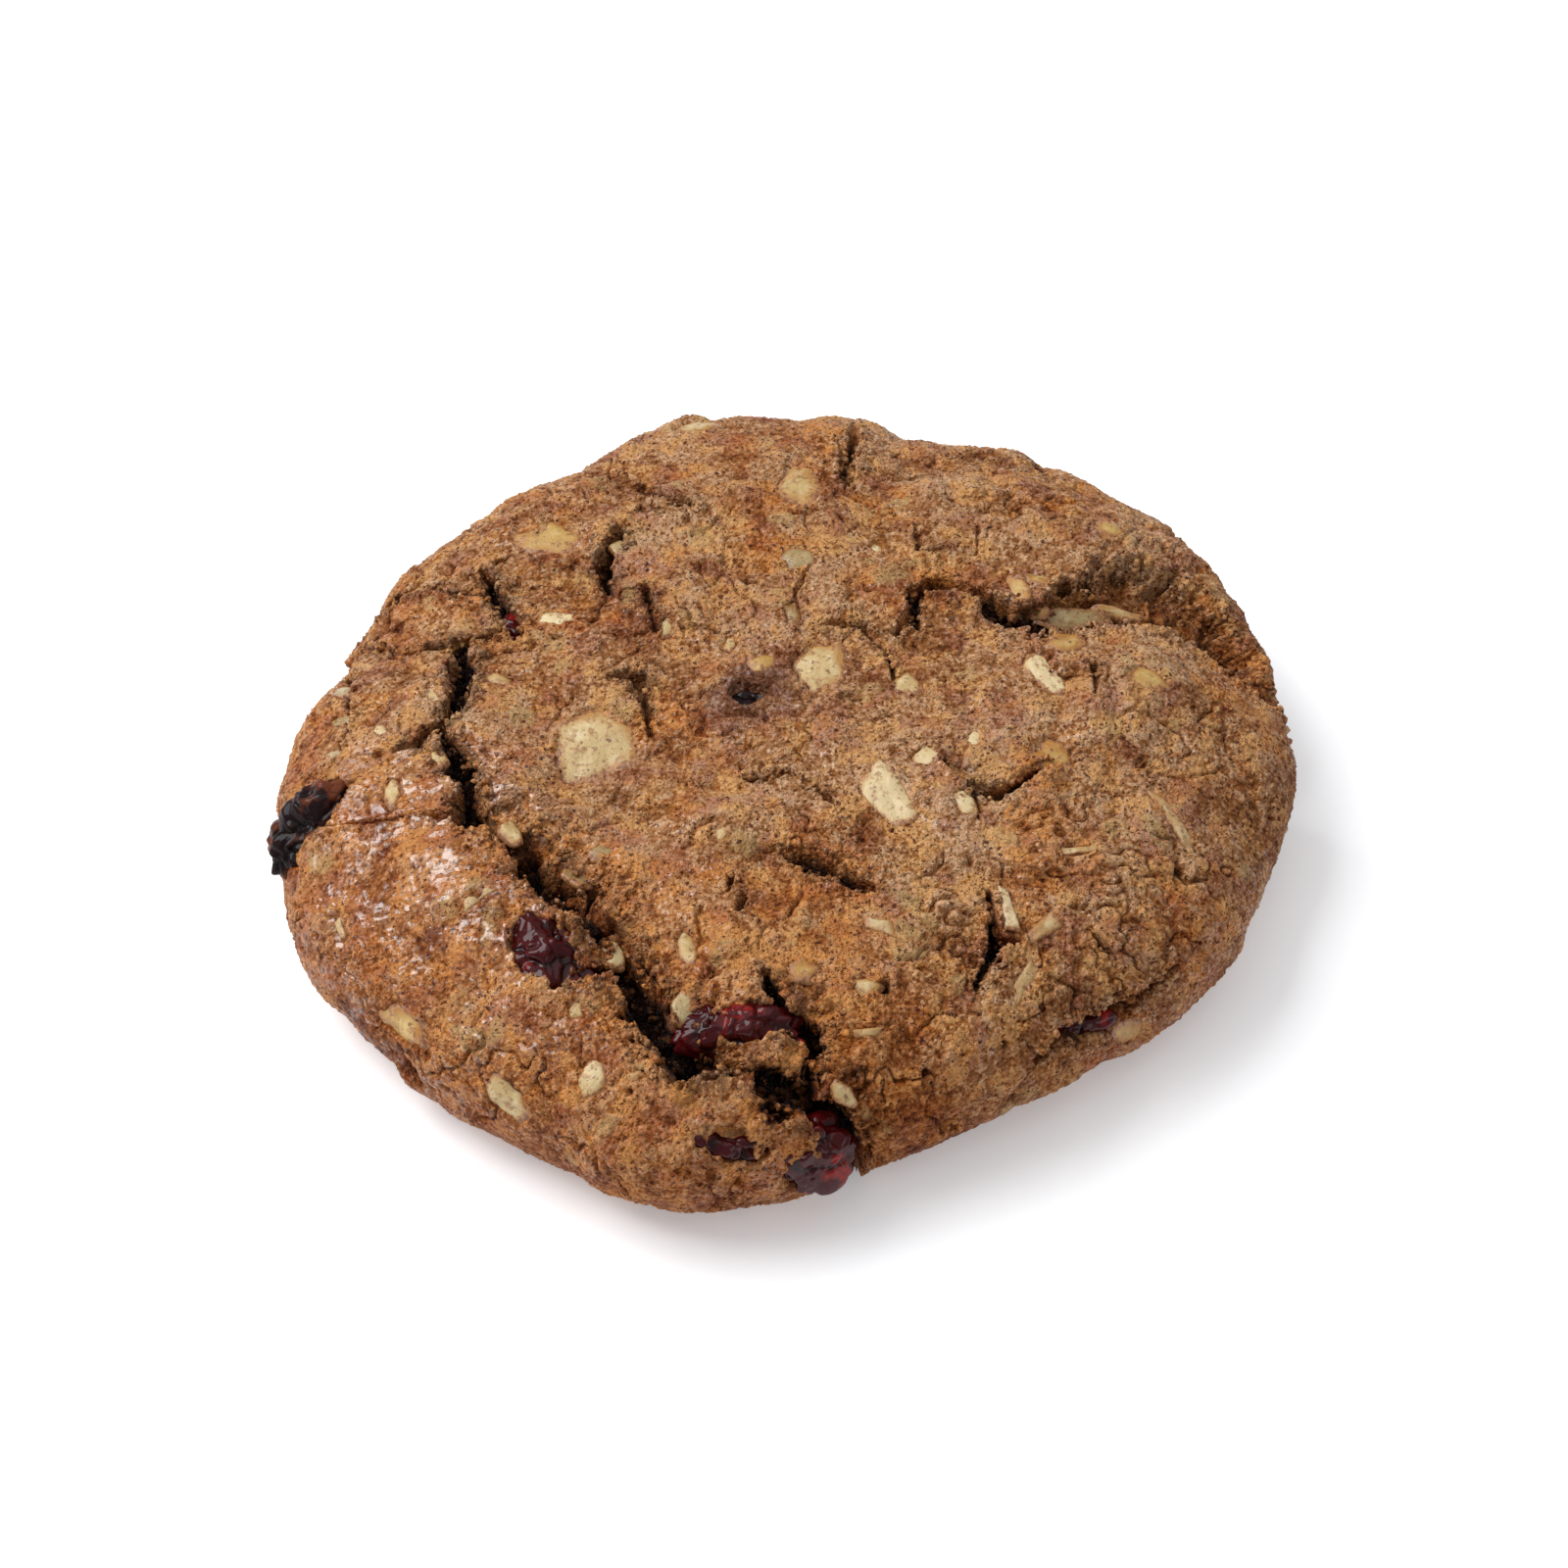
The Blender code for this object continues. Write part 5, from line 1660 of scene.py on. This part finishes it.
@dataclass
class FlakeSet:
    """All flakes of the cookie, one joined piece for each kind.

    Args:
        form: The cookie's form.
        turns: Points round a flake.
        rings: Points from the middle of its top over its rim to the middle of its underside.
    """

    form: CookieForm
    turns: int = 40
    rings: int = 18

    def finish(self, kind: FlakeKind) -> FlakeFinish:
        """What each kind looks like."""
        return {
            OAT: FlakeFinish("oat_flake", (0.51, 0.35, 0.14), (0.70, 0.55, 0.31), (0.44, 0.20, 0.038)),
            NUT: FlakeFinish("toasted_nut", (0.48, 0.28, 0.075), (0.62, 0.43, 0.16), (0.40, 0.16, 0.025)),
            SLIVER: FlakeFinish("bran_sliver", (0.48, 0.30, 0.12), (0.66, 0.52, 0.30), (0.42, 0.19, 0.045)),
            GLASSY: FlakeFinish(
                "moist_chip", (0.33, 0.225, 0.085), (0.46, 0.34, 0.16), (0.26, 0.12, 0.028), roughness=0.25
            ),
        }[kind]

    def one(self, flake: Flake, seed: int) -> Shape:
        """The shape of one flake.

        Going round, the outline is the bed's own uneven polygon. Going over, the radius is
        sin(q)^0.35 and the height cos(q) of a flattened ball, so that the rim is thin and round. A
        crease runs along its middle, and the whole is bent a little over its width.
        """
        bed = flake.bed(seed)
        over, way = ball_angles(self.rings, self.turns, 0.02)
        radius = np.sin(over) ** 0.35 * flake.spread()
        unit = np.stack([np.cos(way), np.sin(way)], axis=1)
        turn = math.radians(bed.turn)
        ways = np.array([[math.cos(turn), math.sin(turn)], [-math.sin(turn), math.cos(turn)]])
        probe = (unit * (bed.length, bed.width)) @ ways + (bed.x, bed.y)
        reach = 1.0 / bed.share(probe)
        local = unit * (bed.length, bed.width) * (radius * reach)[:, None]
        sheet = local @ ways + (bed.x, bed.y)
        place = self.form.place(np.array([[bed.x, bed.y]]))
        surface = self.form.place(sheet)
        swollen = lumps(np.repeat(place.point, len(sheet), axis=0) * 0.5 + surface.point * 0.5)
        across = local[:, 1] / bed.width
        crease = -0.05 * np.exp(-((across / 0.12) ** 2)) * (flake.kind is OAT and flake.length > 4)
        ripple = 0.12 * noise(surface.point, 0.8, seed + 40) + 0.16 * noise(surface.point, 1.8, seed + 41)
        middle = 0.7 * flake.rise - 0.2 - 0.5 * flake.thickness
        height = middle + 0.5 * flake.thickness * np.cos(over) + crease + ripple
        height = height + 0.12 * (1 - radius**2) + across * bed.width * math.tan(math.radians(flake.tilt))
        points = surface.point + place.outward * (swollen + height)[:, None]
        rim = np.concatenate([np.clip(radius, 0, 1) ** 2, [0, 0]])
        return closed_ball(points, self.turns, {"rim": rim, "tone": np.full(len(rim), flake.tone)})

    def build(self, groups: Groups) -> None:
        """Makes one piece for each kind of flake."""
        for kind in FlakeKind:
            shapes = [self.one(flake, seed) for seed, flake in enumerate(FLAKES) if flake.kind is kind]
            piece = joined(shapes).to_object(kind.value, self.finish(kind).build(groups))
            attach(piece, BODY)
            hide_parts("cookie")


# ---- Dried fruit ----


@dataclass(frozen=True)
class Fruit:
    """One dried fruit, where its solid is.

    Args:
        node: Name of the solid that it replaces.
        x: Place on the sheet in mm.
        y: Place on the sheet in mm.
        length: Half length in mm.
        width: Half width in mm.
        thickness: Half thickness in mm.
        turn: Turn in the sheet, in degrees.
        sink: How far its middle lies below the crust, in mm.
        bed_depth: How deep the crust is sunk round it, in mm.
        shown: Middle of the opening over it, from its own middle, and the opening's half sizes as
            shares of its own.
    """

    node: str
    x: float
    y: float
    length: float
    width: float
    thickness: float
    turn: float
    sink: float
    bed_depth: float
    shown: tuple[float, float, float, float] = (0.0, 0.0, 0.95, 0.95)

    def bed(self, seed: int) -> Bed:
        """Where the crust is sunk to show this fruit."""
        x, y, length, width = self.shown
        size = (self.length * length, self.width * width)
        return Bed(self.x + x, self.y + y, *size, self.turn, self.bed_depth, seed, 8, 1.0, 0.7)


FRUITS = (
    Fruit("raisin_rim", -40.4, -9.9, 4.6, 3.2, 2.6, 35.0, 0.9, 1.8),
    Fruit("raisin_centre", -2.5, 0.3, 2.9, 2.3, 1.6, 20.0, 1.4, 0.9, (-0.7, 0.0, 0.5, 0.6)),
    Fruit("cranberry_lobe", -19.2, -27.2, 4.4, 3.2, 2.0, -50.0, 1.9, 1.2, (0.3, -0.2, 0.8, 0.8)),
    Fruit("cranberry_fissure", -3.2, -33.4, 5.0, 2.6, 2.6, -20.0, 2.1, 1.6, (1.3, -0.3, 0.62, 0.85)),
    Fruit("cranberry_front", 2.6, -47.6, 3.4, 3.0, 2.2, 0.0, 1.5, 1.3, (0.3, -0.2, 0.8, 0.75)),
    Fruit("cranberry_strip", -4.2, -43.4, 3.2, 1.3, 1.6, -25.0, 1.4, 0.9),
    Fruit("cranberry_back", -25.9, 12.6, 1.9, 1.2, 1.3, 75.0, 3.4, 0.0),
    Fruit("cranberry_notch", 30.2, -34.6, 2.6, 1.4, 1.6, 30.0, 2.6, 0.0),
)


@dataclass
class FruitSet:
    """All dried fruit of the cookie, each its own wrinkled piece.

    Args:
        form: The cookie's form.
        turns: Points round a fruit.
        rings: Points from its top to its underside.
    """

    form: CookieForm
    turns: int = 150
    rings: int = 90

    def one(self, fruit: Fruit, seed: int) -> Shape:
        """The shape of one fruit.

        A ball of longitude and latitude, flattened to the fruit's half sizes. Its radius strays with
        noise. Its rounded folds with creases between them are the absolute value of two more noises.
        The larger one is drawn out along the fruit, so that its folds run lengthwise.
        """
        over, way = ball_angles(self.rings, self.turns, 0.01)
        ball = np.stack([np.sin(over) * np.cos(way), np.sin(over) * np.sin(way), np.cos(over)], axis=1)
        body = ball * (fruit.length, fruit.width, fruit.thickness)
        bent = body + 0.6 * np.stack([noise(body, 2.0, seed + 90 + k) for k in range(3)], axis=1)
        drawn_out = bent * (0.6, 1.0, 1.0)
        fold, finer = np.abs(noise(drawn_out, 1.9, seed + 60)), np.abs(noise(bent, 0.8, seed + 61))
        uneven = 0.24 * noise(ball, 0.7, seed + 62) + 0.07 * noise(body, 1.0, seed + 63)
        swell = 1 + uneven + 0.34 * (fold - FOLD_MEAN) + 0.17 * (finer - FOLD_MEAN)
        swell = swell + 0.03 * noise(body, 0.4, seed + 64)
        # Where the creases are, for the painted shade of the skin's folds.
        fold = np.exp(-((fold / 0.12) ** 2)) + 0.4 * np.exp(-((finer / 0.12) ** 2))
        body = body * swell[:, None]
        place = self.form.place(np.array([[fruit.x, fruit.y]]))
        turn = math.radians(fruit.turn)
        normal = np.cross(place.along_x[0], place.along_y[0])
        length_way = math.cos(turn) * place.along_x[0] + math.sin(turn) * place.along_y[0]
        ways = np.stack([length_way, np.cross(normal, length_way), normal])
        points = place.point[0] - place.outward[0] * fruit.sink + body @ ways
        return closed_ball(points, self.turns, {"fold": np.concatenate([np.clip(fold, 0, 1), [0, 0]])})

    def build(self) -> None:
        """Makes each fruit."""
        raisin = (0.013, 0.004, 0.005), (0.002, 0.001, 0.001), (0.15, 0.038, 0.014), 0.55, 0.25
        cranberry = (0.055, 0.002, 0.003), (0.010, 0.001, 0.001), (0.31, 0.012, 0.008), 0.52, 0.5
        finishes = {
            "raisin": FruitFinish("raisin_skin", *raisin).build(),
            "cranberry": FruitFinish("cranberry_skin", *cranberry).build(),
        }
        for seed, fruit in enumerate(FRUITS):
            kind = fruit.node.split("_")[0]
            piece = self.one(fruit, seed).to_object(fruit.node + "_skin", finishes[kind])
            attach(piece, BODY)
            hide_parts(fruit.node)


# ---- Crumbs ----


CORNERS = 12


@dataclass
class Crumbs:
    """Loose and half-sunk crumbs: small uneven stones with twenty faces each, joined in one piece.

    Args:
        form: The cookie's form.
        name: Name of the piece.
        count: How many crumbs there are.
        small: Smallest half size in mm.
        large: Largest half size in mm.
        at_edges: Whether they lie along the cracks, or all over the crust.
        seed: Which draw of places is used.
        sink: How far they are sunk in the crust, as a share of their half size.
    """

    form: CookieForm
    name: str
    count: int
    small: float
    large: float
    at_edges: bool
    seed: int
    sink: float = 0.3

    def places(self, draw: np.random.Generator) -> Array:
        """Places on the sheet: at random over the disc, and kept more often near the cracks."""
        tries = self.count * (14 if self.at_edges else 2)
        length = self.form.widest_length * np.sqrt(draw.random(tries)) * 1.04
        angle = 2 * math.pi * draw.random(tries)
        sheet = np.stack([length * np.cos(angle), length * np.sin(angle)], axis=1)
        if self.at_edges:
            near = self.form.crack_field(sheet, self.form.place(sheet))[3]
            sheet = sheet[draw.random(tries) < near * 0.9]
        return sheet[: self.count]

    def build(self, material: bpy.types.Material) -> None:
        """Makes the crumbs: a ball of twelve points each, stretched, turned and placed on the crust."""
        draw = np.random.default_rng(self.seed)
        sheet = self.places(draw)
        place = self.form.place(sheet)
        relief = self.form.relief(sheet, place)
        golden = (1 + math.sqrt(5)) / 2
        corners = [(0, a, b * golden) for a in (-1, 1) for b in (-1, 1)]
        ball = np.array([c[k:] + c[:k] for c in corners for k in (0, 2, 1)], float)
        ball /= np.linalg.norm(ball, axis=1)[:, None]
        faces = hull_faces(ball)
        size = self.small + (self.large - self.small) * draw.random(len(sheet)) ** 2.5
        stretch = 1 + 0.5 * (2 * draw.random((len(sheet), 1, 3)) - 1)
        wobble = 1 + 0.25 * (2 * draw.random((len(sheet), CORNERS, 1)) - 1)
        axes = np.linalg.qr(draw.normal(size=(len(sheet), 3, 3)))[0]
        stones = (ball[None] * stretch * wobble * size[:, None, None]) @ axes
        centre = place.point + place.outward * (relief.height - self.sink * size)[:, None]
        points = (stones + centre[:, None]).reshape(-1, 3)
        triangles = (faces[None] + CORNERS * np.arange(len(sheet))[:, None, None]).reshape(-1, 3)
        flipped = np.repeat(np.linalg.det(axes) < 0, len(faces))
        triangles[flipped] = triangles[flipped][:, ::-1]
        values = {
            # Crumbs take on most of the painted shade of the place where they lie.
            "recess_shade": np.repeat(relief.recess_shade * 0.8, CORNERS),
            "edge": np.repeat(np.clip(relief.edge + 0.3 * (draw.random(len(sheet)) - 0.3), 0, 1), CORNERS),
            "grain": np.repeat(1.4 * draw.random(len(sheet)) - 0.5, CORNERS),
            "stain": np.repeat(relief.stain, CORNERS),
            "veil": np.repeat(relief.veil * 0.5, CORNERS),
        }
        piece = Shape(points, triangles=triangles, values=values).to_object(self.name, material)
        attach(piece, BODY)
        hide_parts("cookie")


def hull_faces(ball: Array) -> Array:
    """The twenty faces of the ball of twelve points: every three points that are all neighbours."""
    gap = np.linalg.norm(ball[:, None] - ball[None], axis=2)
    close = gap < np.min(gap[gap > 0]) * 1.1
    found = []
    for a, b, c in combinations(range(len(ball)), 3):
        if close[a, b] and close[b, c] and close[a, c]:
            outward = np.linalg.det(ball[[a, b, c]]) > 0
            found.append((a, b, c) if outward else (a, c, b))
    return np.array(found)


# ---- Stage ----


@dataclass(frozen=True)
class Studio:
    """Camera, lights and floor.

    Args:
        elevation: Height of the camera's view over the horizon, in degrees.
        distance: From the camera to what it looks at, in metres.
        target: What it looks at, in metres.
        lens: Focal length in mm on a sensor 36 mm wide.
        floor_half: Half side of the floor in mm.
        floor_height: Height of the floor in mm, just under the cookie.
    """

    elevation: float = 48.0
    distance: float = 0.322
    target: tuple[float, float, float] = (0.0002, -0.0028, 0.0100)
    lens: float = 85.0
    floor_half: float = 2000.0
    floor_height: float = -0.02

    def camera(self) -> None:
        """Places the camera in front of the cookie, looking down and away along +Y."""
        angle = math.radians(self.elevation)
        forward = np.array([0.0, math.cos(angle), -math.sin(angle)])
        data = bpy.data.cameras.new("camera")
        data.lens = self.lens
        data.sensor_width = 36.0
        data.clip_start = 0.01
        camera = bpy.data.objects.new("camera", data)
        camera.location = np.array(self.target) + CENTRE_SHIFT * MM - forward * self.distance
        camera.rotation_euler = (math.pi / 2 - angle, 0.0, 0.0)
        bpy.context.scene.collection.objects.link(camera)
        bpy.context.scene.camera = camera

    def area_light(self, name: str, direction: tuple, distance: float, size: float, power: float) -> None:
        """Adds a square soft light that faces the cookie from a direction."""
        way = np.array(direction) / np.linalg.norm(direction)
        data = bpy.data.lights.new(name, "AREA")
        data.size = size
        data.energy = power
        light = bpy.data.objects.new(name, data)
        light.location = way * distance
        yaw = math.atan2(way[0], -way[1])
        light.rotation_euler = (math.acos(way[2]), 0.0, yaw)
        bpy.context.scene.collection.objects.link(light)

    def floor(self) -> None:
        """A wide white floor, square, just under the cookie."""
        material, _, shader = new_material("floor_white")
        shader.inputs["Base Color"].default_value = (0.93, 0.935, 0.95, 1.0)
        shader.inputs["Roughness"].default_value = 0.6
        shader.inputs["Emission Color"].default_value = (0.97, 0.98, 1.0, 1.0)
        shader.inputs["Emission Strength"].default_value = 0.27
        half, ways = self.floor_half, ((-1, -1), (1, -1), (1, 1), (-1, 1))
        corners = np.array([(half * x, half * y, self.floor_height) for x, y in ways])
        floor = Shape(corners, quads=np.array([[0, 1, 2, 3]])).to_object("floor", material)

    def build(self) -> None:
        """Sets up everything that isn't the cookie."""
        scene = bpy.context.scene
        scene.view_settings.view_transform = "Standard"
        world = bpy.data.worlds.new("studio")
        scene.world = world
        world.use_nodes = True
        background = world.node_tree.nodes["Background"]
        background.inputs["Color"].default_value = (0.95, 0.975, 1.0, 1.0)
        background.inputs["Strength"].default_value = 0.36
        self.camera()
        self.area_light("key", (-0.60, 0.22, 0.77), 0.9, 0.66, 7.8)
        self.area_light("top", (0.0, 0.0, 1.0), 1.1, 1.2, 3.0)
        self.floor()


def main() -> None:
    """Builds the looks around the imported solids."""
    logging.basicConfig(level=logging.INFO, format="%(message)s")
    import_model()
    beds = [flake.bed(seed) for seed, flake in enumerate(FLAKES)]
    beds += [fruit.bed(seed + 70) for seed, fruit in enumerate(FRUITS)]
    form = CookieForm(beds=tuple(beds), veils=veiled_beds())
    groups = Groups.build()
    crust = CrustFinish().build(groups)

    Dough(form).build(crust)
    Base(form).build(crust)
    FlakeSet(form).build(groups)
    FruitSet(form).build()
    Crumbs(form, "torn_crumbs", 9500, 0.08, 0.42, True, 5).build(crust)
    Crumbs(form, "crust_crumbs", 6000, 0.05, 0.17, False, 6).build(crust)
    Studio().build()


if __name__ == "__main__":
    main()
